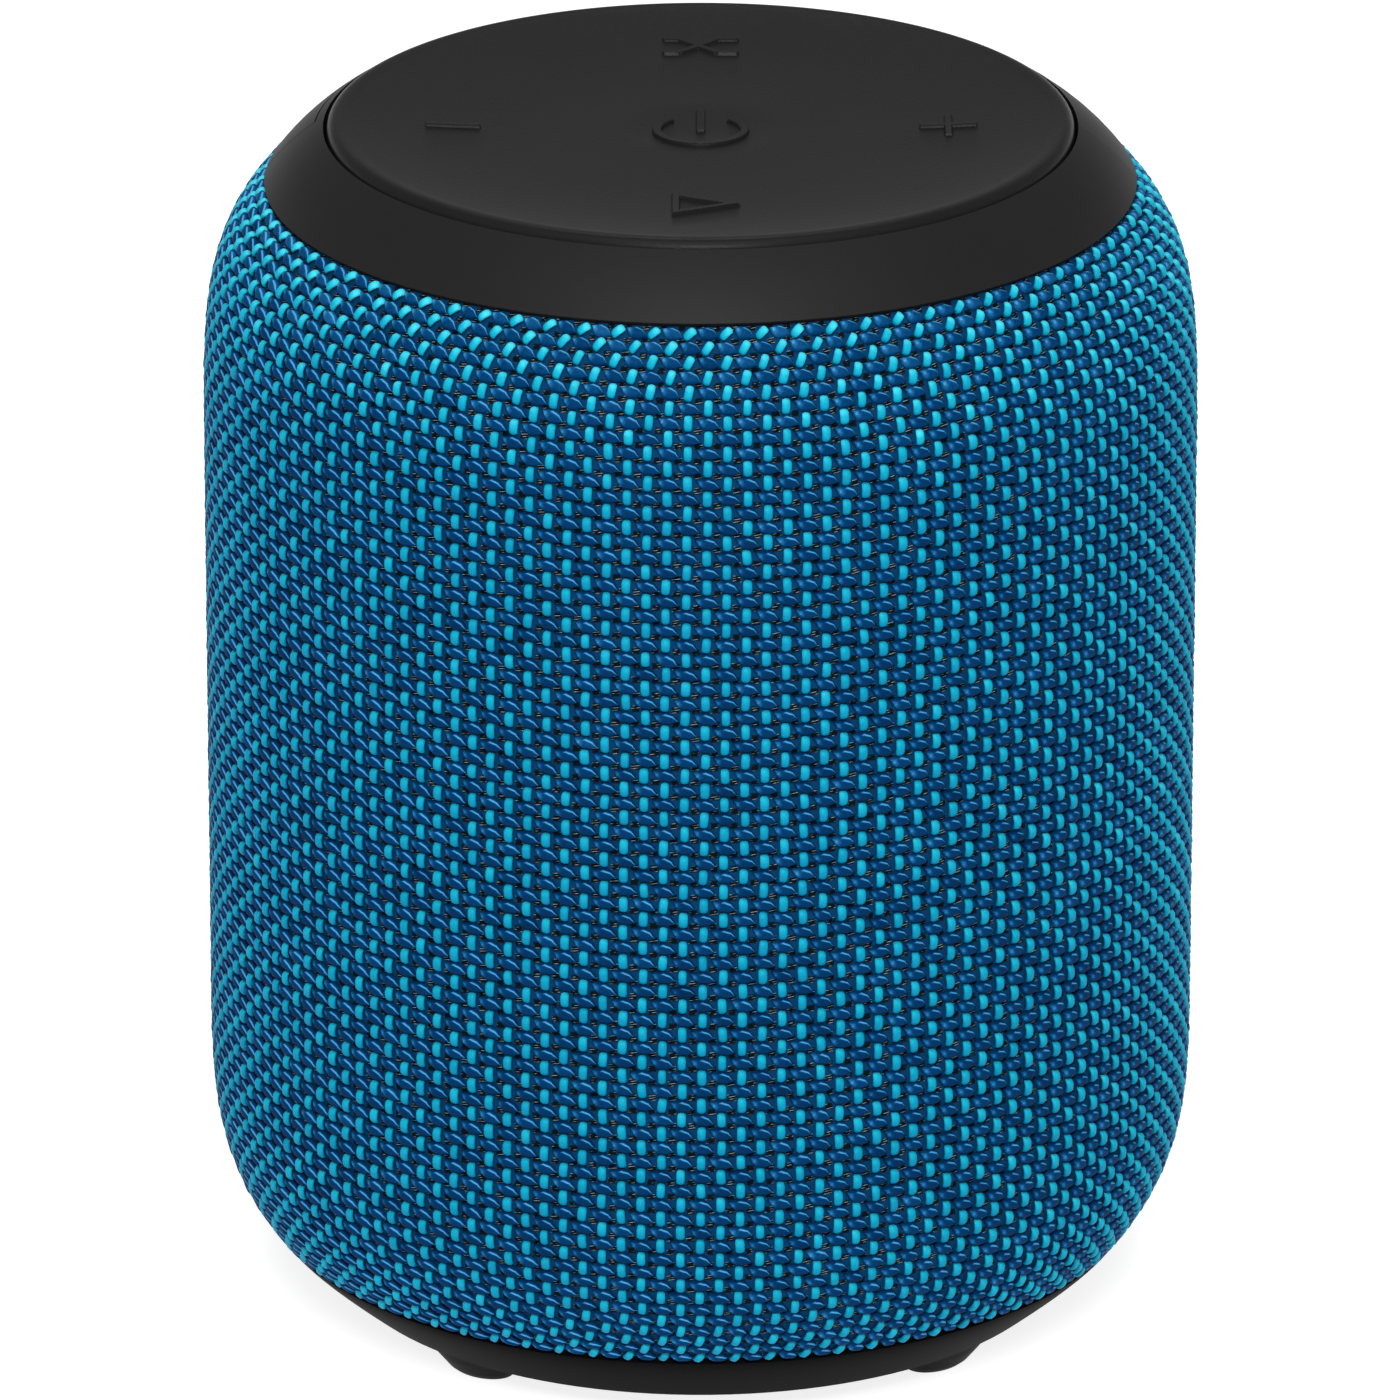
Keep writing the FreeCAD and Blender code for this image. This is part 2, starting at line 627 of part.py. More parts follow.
def make_chassis():
    floor = cylinder(35.2, CHASSIS_FLOOR_Z, CHASSIS_FLOOR_Z + 2)
    wall = ring(33.6, 35.2, CHASSIS_FLOOR_Z + 2, SKIRT_Z - 1.5)
    flange = ring(28.6, 35.0, SKIRT_Z - 1.5, SKIRT_Z)
    posts = [cylinder(2.6, CHASSIS_FLOOR_Z + 2, BOARD_TOP - BOARD_T, polar(POST_R, a)) for a in POST_ANGLES]
    bridges = []
    for a in POST_ANGLES:
        web = box(-0.8, 0.8, -34.0, -POST_R, CHASSIS_FLOOR_Z + 2, MAIN_BOARD_Z + 6)
        web.rotate(V(0, 0, 0), UP, a)
        bridges.append(web)
    standoffs = [cylinder(2.0, CHASSIS_FLOOR_Z + 2, MAIN_BOARD_Z, polar(22.0, a)) for a in (0, 90, 180, -90)]
    legs = [cylinder(2.6, CABINET_TOP_Z, CHASSIS_FLOOR_Z, polar(LEG_R, a)) for a in LEG_ANGLES]
    body = floor.fuse([wall, flange] + posts + bridges + standoffs + legs)
    for a in LEG_ANGLES:
        body = body.cut(cylinder(1.15, CABINET_TOP_Z - 1, CHASSIS_FLOOR_Z + 3, polar(LEG_R, a)))
        body = body.cut(cylinder(2.3, CHASSIS_FLOOR_Z + 1, MAIN_BOARD_Z + 6.5, polar(LEG_R, a)))
    for hole in post_holes(1.05, BOARD_TOP - 14, BOARD_TOP + 1):
        body = body.cut(hole)
    window = lathe([(27.0, MAIN_BOARD_Z + 2), (36.5, MAIN_BOARD_Z + 2), (36.5, 93), (27.0, 93)],
                   PORT_FROM - 4, PORT_TO - PORT_FROM + 8)
    body = body.cut(window)
    body = body.cut(cylinder(WIRE_HOLE_R, CHASSIS_FLOOR_Z - 1, CHASSIS_FLOOR_Z + 3, V(0, WIRE_Y, 0)))
    export("top_chassis", body)


def make_diffuser():
    """Hollow cone that turns the driver's sound outwards."""
    z = CHASSIS_FLOOR_Z
    outer = [(25.5, z), (24.0, z - 1.2), (14.0, z - 4.6), (7.0, z - 8.6), (0, z - 10.2)]
    inner = [(0, z - 8.7), (6.2, z - 7.2), (13.3, z - 3.1), (21.0, z)]
    export("sound_diffuser", lathe(outer + inner))


# ---- sealed cabinet -----------------------------------------------------------------------------


def foot_posts(radius, z0, z1):
    return [cylinder(radius, z0, z1, polar(FOOT_R, a)) for a in FOOT_ANGLES]


def boss_posts(radius, z0, z1):
    return [cylinder(radius, z0, z1, polar(CABINET_BOSS_R, a)) for a in CABINET_BOSS_ANGLES]


def make_cabinet():
    inner = CABINET_R - CABINET_WALL
    z0 = CABINET_FLOOR_Z
    split = CABINET_SPLIT_Z
    lower = lathe([
        (19.4, z0), (32.3, z0), (CABINET_R, z0 + 6.0), (CABINET_R, split),
        (inner, split), (inner, z0 + 6.8), (31.4, z0 + 2), (19.4, z0 + 2),
    ])
    within = lathe([(0, z0 + 0.5), (31.9, z0 + 0.5), (35.3, z0 + 6.4), (35.3, split), (0, split)])
    posts = [p.common(within) for p in boss_posts(3.2, z0 + 1, split)]
    lower = lower.fuse(posts + foot_posts(2.8, z0 + 1, z0 + 8))
    for hole in boss_posts(1.15, z0 - 1, split + 1) + boss_posts(2.25, z0 - 1, z0 + 1.6):
        lower = lower.cut(hole)
    for hole in foot_posts(1.05, z0 - 1, z0 + 7):
        lower = lower.cut(hole)
    groove = ring(34.95, 35.65, split - 0.45, split + 0.45)
    export("cabinet_lower", lower.cut(groove))

    top = CABINET_TOP_Z
    upper = lathe([
        (24.75, top - 2), (inner, top - 2), (inner, split), (CABINET_R, split),
        (CABINET_R, top - 2), (CABINET_R - 2, top), (24.75, top),
    ])
    leg_posts = [cylinder(2.6, top - 10, top - 1, polar(LEG_R, a)) for a in LEG_ANGLES]
    upper = upper.fuse(boss_posts(3.2, split, split + 12) + leg_posts)
    for hole in boss_posts(1.05, split - 1, split + 11):
        upper = upper.cut(hole)
    for a in LEG_ANGLES:
        upper = upper.cut(cylinder(1.05, top - 9, top + 1, polar(LEG_R, a)))
    for a in DRIVER_SCREW_ANGLES:
        upper = upper.cut(cylinder(0.85, top - 3, top + 1, polar(DRIVER_SCREW_R, a)))
    upper = upper.cut(cylinder(WIRE_HOLE_R, top - 3, top + 1, V(0, WIRE_Y, 0)))
    export("cabinet_upper", upper.cut(groove))
    export("cabinet_seal", ring(34.97, 35.63, split - 0.43, split + 0.43))

    plug = cylinder(WIRE_HOLE_R, top - 2, top, V(0, WIRE_Y, 0))
    collar = cylinder(WIRE_HOLE_R + 0.5, top, top + 1, V(0, WIRE_Y, 0))
    grommet = plug.fuse(collar)
    for x in WIRE_X:
        grommet = grommet.cut(cylinder(WIRE_R, top - 3, top + 2, V(x, WIRE_Y, 0)))
    export("wire_grommet", grommet)


def screw(at, head_z, head_h, head_r, shank_r, length, downwards=True):
    """Round-headed screw with a driver slot, standing on +Z or -Z."""
    sign = -1 if downwards else 1
    if downwards:
        head = cylinder(head_r, head_z, head_z + head_h, at)
        shank = cylinder(shank_r, head_z - length, head_z, at)
        slot = box(at.x - head_r, at.x + head_r, at.y - 0.25, at.y + 0.25, head_z + head_h - 0.5, head_z + head_h + 1)
    else:
        head = cylinder(head_r, head_z - head_h, head_z, at)
        shank = cylinder(shank_r, head_z, head_z + length, at)
        slot = box(at.x - head_r, at.x + head_r, at.y - 0.25, at.y + 0.25, head_z - head_h - 1, head_z - head_h + 0.5)
    return head.fuse(shank).cut(slot)


def make_screws():
    top = [screw(polar(POST_R, a), 97.0, 1.0, 2.0, 1.0, 17.0) for a in POST_ANGLES]
    export("board_screws", group(top))
    chassis = [screw(polar(LEG_R, a), CHASSIS_FLOOR_Z + 1, 1.4, 2.1, 1.0, 24.0) for a in LEG_ANGLES]
    export("chassis_screws", group(chassis))
    cabinet = [screw(polar(CABINET_BOSS_R, a), CABINET_FLOOR_Z + 1.6, 1.4, 2.1, 1.0, 38.0, False)
               for a in CABINET_BOSS_ANGLES]
    export("cabinet_screws", group(cabinet))
    base = [screw(polar(FOOT_R, a), BASE_SCREW_Z, 1.2, 2.1, 1.0, 11.0, False) for a in FOOT_ANGLES]
    export("base_screws", group(base))
    driver = [screw(polar(DRIVER_SCREW_R, a), CABINET_TOP_Z + 1.5, 0.9, 1.4, 0.8, 5.5) for a in DRIVER_SCREW_ANGLES]
    export("driver_screws", group(driver))


# ---- driver -------------------------------------------------------------------------------------

def make_driver():
    z = DRIVER_Z
    basket = lathe([
        (12.0, z - 14.5), (18.2, z - 14.5), (23.9, z - 2.2), (23.9, z), (28.0, z), (28.0, z + 1.0),
        (23.1, z + 1.0), (23.1, z - 2.0), (22.7, z - 2.0), (17.6, z - 13.3), (16.4, z - 13.3),
        (16.4, z - 13.5), (12.0, z - 13.5),
    ])
    for a in (45, 135, 225, 315):
        window = box(-5.5, 5.5, -26.0, -16.5, z - 13.0, z - 4.2)
        window.rotate(V(0, 0, 0), UP, a)
        basket = basket.cut(window)
    for a in DRIVER_SCREW_ANGLES:
        basket = basket.cut(cylinder(0.9, z - 1, z + 2, polar(DRIVER_SCREW_R, a)))
    export("driver_basket", basket)

    gasket = ring(24.8, 28.0, CABINET_TOP_Z, z)
    for a in DRIVER_SCREW_ANGLES:
        gasket = gasket.cut(cylinder(0.95, z - 2, z + 1, polar(DRIVER_SCREW_R, a)))
    export("driver_gasket", gasket)

    plate_top = z - 14.5
    export("driver_top_plate", ring(7.75, 17.0, plate_top - 2.5, plate_top))
    export("driver_magnet", ring(9.5, 18.0, plate_top - 8.0, plate_top - 2.5))
    yoke = cylinder(17.5, plate_top - 10.5, plate_top - 8.0)
    export("driver_yoke", yoke.fuse(cylinder(6.4, plate_top - 8.0, plate_top + 0.4)))

    former = ring(6.85, 7.05, plate_top - 5.0, z - 9.6)
    winding = ring(7.05, 7.35, plate_top - 3.4, plate_top + 1.4)
    export("driver_voice_coil", former.fuse(winding))

    cone = lathe([(7.06, z - 10.4), (18.6, z - 1.6), (20.0, z - 1.6), (20.0, z - 1.15), (18.4, z - 1.15), (7.06, z - 9.8)])
    export("driver_cone", cone)

    cap_r = 8.2
    cap_z = z - 8.9
    rise = 2.6
    thick = 0.35
    ball_r = (cap_r ** 2 + rise ** 2) / (2 * rise)
    ball_z = cap_z + rise - ball_r
    ball = Part.makeSphere(ball_r, V(0, 0, ball_z)).cut(Part.makeSphere(ball_r - thick, V(0, 0, ball_z)))
    export("driver_dust_cap", ball.common(cylinder(cap_r + 1, cap_z, z)))

    spider_z = z - 13.1
    steps = 4
    inner_r, outer_r = 7.06, 15.9
    lower, upper = [], []
    for i in range(2 * steps + 1):
        r = inner_r + (outer_r - inner_r) * i / (2 * steps)
        wave = 0.35 * (1 if i % 2 else -1) if 0 < i < 2 * steps else 0.0
        lower.append((r, spider_z + wave))
        upper.append((r, spider_z + 0.3 + wave))
    export("driver_spider", lathe(lower + upper[::-1]))

    roll_r = 1.55
    roll_mid = 20.0 + 0.05 + roll_r
    seat = z - 1.15
    film = 0.4
    surround = lathe_edges([
        arc3((roll_mid - roll_r, seat), (roll_mid, seat + roll_r), (roll_mid + roll_r - 0.1, seat)),
        line((roll_mid + roll_r - 0.1, seat), (roll_mid + roll_r - 0.1 - film, seat)),
        arc3((roll_mid + roll_r - 0.1 - film, seat), (roll_mid, seat + roll_r - film),
             (roll_mid - roll_r + film, seat)),
        line((roll_mid - roll_r + film, seat), (roll_mid - roll_r, seat)),
    ])
    export("driver_surround", surround)

    export("driver_terminals", box(-5, 5, 17.05, 22.4, plate_top - 1.0, plate_top))


# ---- battery ------------------------------------------------------------------------------------


def make_battery():
    half = CELL_LENGTH / 2
    x_axis = V(1, 0, 0)
    can = Part.makeCylinder(CELL_R, CELL_LENGTH - 1.0, V(-half + 0.5, 0, CELL_Z), x_axis)
    button = Part.makeCylinder(3.0, 0.5, V(half - 0.5, 0, CELL_Z), x_axis)
    export("battery_cell", can.fuse(button))
    tabs = [
        box(-half + 0.3, -half + 0.5, -3, 3, CELL_Z - 4, CELL_Z + CELL_R + 0.1),
        box(half, half + 0.2, -3, 3, CELL_Z - 4, CELL_Z + CELL_R + 0.1),
    ]
    guard_board = box(-12, 12, 9.4, 10.2, CELL_Z - 5.5, CELL_Z + 3.5)
    export("battery_guard", group(tabs + [guard_board]))

    z0 = CABINET_FLOOR_Z + 2
    saddles = []
    for x in (-25.0, 25.0):
        block = box(x - 2, x + 2, -11.5, 9.0, z0, CELL_Z - 2)
        saddles.append(block)
    rails = [box(-27, 27, -13.5, -11.5, z0, z0 + 2), box(-27, 27, 11.5, 13.5, z0, z0 + 2)]
    ties = [box(x - 2, x + 2, -13.5, 13.5, z0, z0 + 2) for x in (-25.0, 25.0)]
    holder = saddles[0].fuse([saddles[1]] + rails + ties)
    seat = Part.makeCylinder(CELL_R + 0.15, 80, V(-40, 0, CELL_Z), x_axis)
    export("battery_holder", holder.cut(seat))


def make_wires():
    """Leads for the driver and the battery, up through one grommet to the main board."""
    board_z = MAIN_BOARD_Z + BOARD_T + 3.0
    run_z = board_z + 2.2
    tag_y = 21.6
    tag_z = DRIVER_Z - 14.5
    leads = []
    for x, tag_x, plug_x in ((WIRE_X[0], -3.0, -6.2), (WIRE_X[1], -0.8, -4.6)):
        leads.append(wire_tube([
            V(tag_x, tag_y, tag_z), V(tag_x, tag_y, tag_z + 2.8), V(x, WIRE_Y, tag_z + 7.0),
            V(x, WIRE_Y, run_z), V(plug_x, 10.5, run_z), V(plug_x, 10.5, board_z),
        ], WIRE_R, 1.2))
    export("driver_leads", group(leads))
    leads = []
    guard_y = 10.2
    for x, guard_x, plug_x in ((WIRE_X[2], 4.0, 0.9), (WIRE_X[3], 6.0, 2.5)):
        leads.append(wire_tube([
            V(guard_x, guard_y, CELL_Z + 1.0), V(guard_x, 24.5, CELL_Z + 1.0), V(x, WIRE_Y, 38.0),
            V(x, WIRE_Y, run_z), V(plug_x, 10.5, run_z), V(plug_x, 10.5, board_z),
        ], WIRE_R, 1.2))
    export("battery_leads", group(leads))


# ---- passive radiator and base ------------------------------------------------------------------

def make_radiator():
    z = CABINET_FLOOR_Z
    frame = lathe([(18.6, z - 2.4), (22.4, z - 2.4), (22.4, z), (17.6, z), (17.6, z - 1.0), (18.6, z - 1.0)])
    export("radiator_frame", frame)
    plate = cylinder(RADIATOR_PLATE_R, z - 1.7, z - 0.4)
    rim_groove = ring(9.5, 10.3, z - 2.7, z - 1.5)
    export("radiator_plate", plate.cut(rim_groove))
    export("radiator_weight", cylinder(8.0, z - 0.4, z + 2.6))
    film = 0.5
    inner_r = RADIATOR_PLATE_R
    outer_r = 18.5
    mid = (inner_r + outer_r) / 2
    roll = (outer_r - inner_r) / 2
    seat = z - 1.05
    surround = lathe_edges([
        arc3((inner_r, seat), (mid, seat - roll), (outer_r, seat)),
        line((outer_r, seat), (outer_r - film, seat)),
        arc3((outer_r - film, seat), (mid, seat - roll + film), (inner_r + film, seat)),
        line((inner_r + film, seat), (inner_r, seat)),
    ])
    export("radiator_surround", surround)


def base_outline_inner(t):
    return (
        (BASE_TOP[0] - t * 0.8, BASE_TOP[1] + t * 0.55),
        (BASE_BELLY[0] - t * 0.8, BASE_BELLY[1] + t * 0.55),
        (BASE_EDGE[0] - t * 0.45, BASE_EDGE[1] + t),
    )


def bezier(a, b, c):
    curve = Part.BezierCurve()
    curve.setPoles([rz(a), rz(b), rz(c)])
    return curve.toShape()


def base_outer_solid():
    """Everything inside the bowl's outer surface, used to seat the feet on it."""
    edges = [
        bezier(BASE_TOP, BASE_BELLY, BASE_EDGE),
        line(BASE_EDGE, (0, BASE_EDGE[1])),
        line((0, BASE_EDGE[1]), (0, BASE_TOP[1])),
        line((0, BASE_TOP[1]), BASE_TOP),
    ]
    return lathe_edges(edges)


def make_base():
    top, belly, edge = base_outline_inner(BASE_T)
    edges = [
        bezier(BASE_TOP, BASE_BELLY, BASE_EDGE),
        line(BASE_EDGE, (BASE_OPENING_R, BASE_EDGE[1])),
        line((BASE_OPENING_R, BASE_EDGE[1]), (BASE_OPENING_R, CABINET_FLOOR_Z - 2.4)),
        line((BASE_OPENING_R, CABINET_FLOOR_Z - 2.4), (BASE_OPENING_R + 1.6, CABINET_FLOOR_Z - 2.4)),
        line((BASE_OPENING_R + 1.6, CABINET_FLOOR_Z - 2.4), (BASE_OPENING_R + 1.6, edge[1])),
        line((BASE_OPENING_R + 1.6, edge[1]), edge),
        bezier(edge, belly, top),
        line(top, BASE_TOP),
    ]
    body = lathe_edges(edges)
    posts = foot_posts(3.4, BASE_EDGE[1] + 1, CABINET_FLOOR_Z)
    body = body.fuse(posts)
    for hole in foot_posts(2.25, BASE_EDGE[1] - 1, BASE_SCREW_Z) + foot_posts(1.1, BASE_EDGE[1], CABINET_FLOOR_Z + 1):
        body = body.cut(hole)
    export("base_cup", body)

    solid = base_outer_solid()
    feet = []
    for a in FOOT_ANGLES:
        foot = foot_blank()
        foot.rotate(V(0, 0, 0), UP, a)
        feet.append(foot.cut(solid))
    export("base_feet", group(feet))


def ellipse_wire(centre_r, radial, tangential, z):
    """Ellipse at the front, long across the radius when tangential is the larger."""
    centre = V(0, -centre_r, z)
    if radial > tangential:
        curve = Part.Ellipse(centre + V(0, -radial, 0), centre + V(tangential, 0, 0), centre)
    else:
        curve = Part.Ellipse(centre + V(tangential, 0, 0), centre + V(0, -radial, 0), centre)
    return Part.Wire(curve.toShape())


def foot_blank():
    """Tapered rubber lug, wider where it meets the bowl."""
    sections = [
        ellipse_wire(25.9, 2.0, 2.8, 0.0),
        ellipse_wire(26.0, 2.4, 3.1, 0.4),
        ellipse_wire(26.3, 3.0, 3.8, 1.5),
        ellipse_wire(26.5, 3.5, 5.2, 2.6),
    ]
    return Part.makeLoft(sections, True, True)


# ---- outer wall ---------------------------------------------------------------------------------


def make_wall():
    """Woven sleeve and the slotted tube behind it, both cut back where a plug goes into the audio socket."""
    sleeve_cut = port_cylinder(JACK_BORE_R + 0.05, JACK_U, 8.0, -1.0)
    tube_cut = port_cylinder(JACK_BORE_R + 0.35, JACK_U, 8.0, -1.0)
    export("fabric_sleeve", wall_shell(0.0, SLEEVE_T).cut(sleeve_cut))
    tube = wall_shell(SLEEVE_T, SLEEVE_T + GRILLE_T).cut(tube_cut)
    columns = 36
    slot_half = 1.6
    rows = ((29.0, 43.0), (46.5, 60.5), (64.0, 76.5))
    slots = []
    for i in range(columns):
        for z0, z1 in rows:
            slot = box(-slot_half, slot_half, -42, -34, z0, z1)
            slot.rotate(V(0, 0, 0), UP, 360.0 * i / columns)
            slots.append(slot)
    export("grille_tube", tube.cut(slots))


def main():
    os.makedirs("parts", exist_ok=True)
    make_keypad()
    make_pad_carrier()
    make_button_board()
    make_bezel()
    make_port_cover()
    make_sockets()
    make_main_board()
    make_chassis()
    make_diffuser()
    make_cabinet()
    make_screws()
    make_driver()
    make_battery()
    make_wires()
    make_radiator()
    make_base()
    make_wall()


main()
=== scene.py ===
"""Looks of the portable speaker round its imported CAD: woven sleeve, seamless keypad, finishes, light and camera.

Lengths are in millimetres until a mesh is made, in the CAD's frame: the front is -Y and up is +Z.
"""

import math

import bpy
import numpy as np
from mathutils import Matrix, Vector
from mathutils.geometry import delaunay_2d_cdt

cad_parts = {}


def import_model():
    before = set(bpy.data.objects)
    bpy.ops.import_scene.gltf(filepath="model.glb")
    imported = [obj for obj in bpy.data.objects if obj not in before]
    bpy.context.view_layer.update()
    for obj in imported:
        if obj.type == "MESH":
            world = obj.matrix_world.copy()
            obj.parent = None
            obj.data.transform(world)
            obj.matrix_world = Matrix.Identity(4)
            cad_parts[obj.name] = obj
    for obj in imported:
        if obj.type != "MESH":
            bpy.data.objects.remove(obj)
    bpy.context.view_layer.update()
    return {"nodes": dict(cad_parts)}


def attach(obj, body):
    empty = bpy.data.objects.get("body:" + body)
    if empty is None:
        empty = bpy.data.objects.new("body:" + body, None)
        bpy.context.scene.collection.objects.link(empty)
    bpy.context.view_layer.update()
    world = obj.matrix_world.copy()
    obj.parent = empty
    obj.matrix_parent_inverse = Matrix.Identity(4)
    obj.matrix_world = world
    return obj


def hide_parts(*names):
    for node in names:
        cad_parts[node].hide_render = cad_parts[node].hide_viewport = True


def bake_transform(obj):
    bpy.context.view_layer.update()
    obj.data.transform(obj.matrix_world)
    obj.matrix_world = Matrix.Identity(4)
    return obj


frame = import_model()

MM = 0.001
rng = np.random.default_rng(7)

# ---- meshes -------------------------------------------------------------------------------------


def make_object(name, verts, faces, material, tone=None, vectors=None, normals=None):
    """A smooth mesh piece. verts are mm, faces is a list of index arrays, each with one row per face."""
    mesh = bpy.data.meshes.new(name)
    verts = np.asarray(verts, dtype=np.float64)
    mesh.vertices.add(len(verts))
    mesh.vertices.foreach_set("co", (verts * MM).astype(np.float32).ravel())
    loops = np.concatenate([np.asarray(f).ravel() for f in faces]).astype(np.int32)
    sizes = np.concatenate([np.full(len(f), np.asarray(f).shape[1]) for f in faces])
    starts = np.concatenate([[0], np.cumsum(sizes)[:-1]]).astype(np.int32)
    mesh.loops.add(len(loops))
    mesh.loops.foreach_set("vertex_index", loops)
    mesh.polygons.add(len(sizes))
    mesh.polygons.foreach_set("loop_start", starts)
    mesh.polygons.foreach_set("use_smooth", np.ones(len(sizes), dtype=bool))
    mesh.update(calc_edges=True)
    mesh.validate()
    if tone is not None:
        mesh.attributes.new("tone", "FLOAT", "POINT").data.foreach_set("value", tone.astype(np.float32))
    if vectors is not None:
        layer = mesh.attributes.new("cell", "FLOAT_VECTOR", "POINT")
        layer.data.foreach_set("vector", vectors.astype(np.float32).ravel())
    if normals is not None:
        mesh.normals_split_custom_set_from_vertices(normals.tolist())
    mesh.materials.append(material)
    piece = bpy.data.objects.new(name, mesh)
    bpy.context.scene.collection.objects.link(piece)
    return piece


def grid_faces(rows, columns, closed):
    """Quads between rows of vertices; closed joins the last column to the first."""
    r = np.arange(rows - 1)[:, None]
    c = np.arange(columns if closed else columns - 1)[None, :]
    d = (c + 1) % columns
    quads = np.stack([r * columns + c, r * columns + d, (r + 1) * columns + d, (r + 1) * columns + c], -1)
    return quads.reshape(-1, 4)


def revolve(profile, segments, centre=(0.0, 0.0)):
    """Vertices and faces of (radius, height) points turned about a vertical axis, from the bottom up facing out."""
    angle = np.arange(segments) * 2 * math.pi / segments
    radius, height = np.array(profile).T
    x = centre[0] + radius[:, None] * np.cos(angle)
    y = centre[1] + radius[:, None] * np.sin(angle)
    z = np.repeat(height[:, None], segments, 1)
    return np.stack([x, y, z], -1).reshape(-1, 3), grid_faces(len(profile), segments, True)


# ---- materials ----------------------------------------------------------------------------------


def add(tree, kind, inputs=(), **settings):
    """A shader node. inputs pairs a socket's name or number with a value or with the socket that feeds it."""
    node = tree.nodes.new("ShaderNode" + kind)
    for key, value in settings.items():
        setattr(node, key, value)
    for key, value in dict(inputs).items():
        if isinstance(value, bpy.types.NodeSocket):
            tree.links.new(value, node.inputs[key])
        else:
            node.inputs[key].default_value = value
    return node


def ramp(tree, factor, stops):
    """A colour that runs through (position, colour) stops."""
    node = add(tree, "ValToRGB", {"Fac": factor})
    elements = node.color_ramp.elements
    while len(elements) < len(stops):
        elements.new(0.5)
    for element, (position, colour) in zip(elements, stops):
        element.position = position
        element.color = (*colour, 1.0)
    return node.outputs["Color"]


def noise(tree, scale, detail=2.0, stretch=(1.0, 1.0, 1.0)):
    """Noise with features of about 1/scale metre, drawn out along an axis where stretch is below 1."""
    place = add(tree, "TexCoord").outputs["Object"]
    place = add(tree, "Mapping", {"Vector": place, "Scale": stretch}).outputs["Vector"]
    return add(tree, "TexNoise", {"Vector": place, "Scale": scale, "Detail": detail}).outputs["Fac"]


def maths(tree, operation, a, b=0.0):
    """The result of one sum on sockets or numbers."""
    return add(tree, "Math", {0: a, 1: b}, operation=operation).outputs[0]


def new_material(name, **surface):
    """A material with settings of its shader's sockets, in whose names an underscore stands for a space."""
    material = bpy.data.materials.new(name)
    material.use_nodes = True
    tree = material.node_tree
    principled = tree.nodes["Principled BSDF"]
    for key, value in surface.items():
        principled.inputs[key.replace("_", " ")].default_value = value
    return material, tree, principled


def finish_material(name, low, high, grain, bump, stretch=(1, 1, 1), mottle=60.0, **surface):
    """A finish whose colour drifts from low to high, with a fine grain of 1/grain metre that is bump metres deep."""
    material, tree, principled = new_material(name, **surface)
    broad = noise(tree, mottle, 3.0)
    fine = noise(tree, grain, 2.0, stretch)
    mixed = maths(tree, "ADD", maths(tree, "MULTIPLY", broad, 0.5), maths(tree, "MULTIPLY", fine, 0.5))
    tree.links.new(ramp(tree, mixed, [(0.3, low), (0.7, high)]), principled.inputs["Base Color"])
    relief = add(tree, "Bump", {"Strength": 1.0, "Distance": bump, "Height": fine})
    tree.links.new(relief.outputs["Normal"], principled.inputs["Normal"])
    return material


def grey(value, warmth=0.0):
    return (value * (1 + warmth), value, value * (1 - warmth))


FIBRE_GRAIN, FIBRE_SHARE, FIBRE_BUMP = 5200.0, 0.16, 0.00003


def fabric_material(name, stops, **surface):
    """Yarn whose colour follows the tone kept on its mesh, which holds painted highlights and shade besides the yarn's
    own random tone.
    """
    material, tree, principled = new_material(name, **surface)
    tone = add(tree, "Attribute", attribute_name="tone").outputs["Fac"]
    fibre = noise(tree, FIBRE_GRAIN, 1.0)
    varied = maths(tree, "ADD", tone, maths(tree, "MULTIPLY", maths(tree, "SUBTRACT", fibre, 0.5), FIBRE_SHARE))
    tree.links.new(ramp(tree, varied, stops), principled.inputs["Base Color"])
    relief = add(tree, "Bump", {"Strength": 0.5, "Distance": FIBRE_BUMP, "Height": fibre})
    tree.links.new(relief.outputs["Normal"], principled.inputs["Normal"])
    return material


NAVY_UNDER = (0.0004, 0.042, 0.125)
# Painted shade: a darker navy for the under yarn where it dips towards the holes.
NAVY_PAINTED_SHADE = (0.0006, 0.018, 0.055)
HOLE_BLACK = (0.0006, 0.0045, 0.006)
THREAD_DIM, THREAD_PALE = (0.006, 0.03, 0.03), (0.36, 0.44, 0.42)
HOLE_FROM_COLUMN, HOLE_FROM_ROW = 0.26, 0.24    # shares of a cell from its middle to where a hole starts


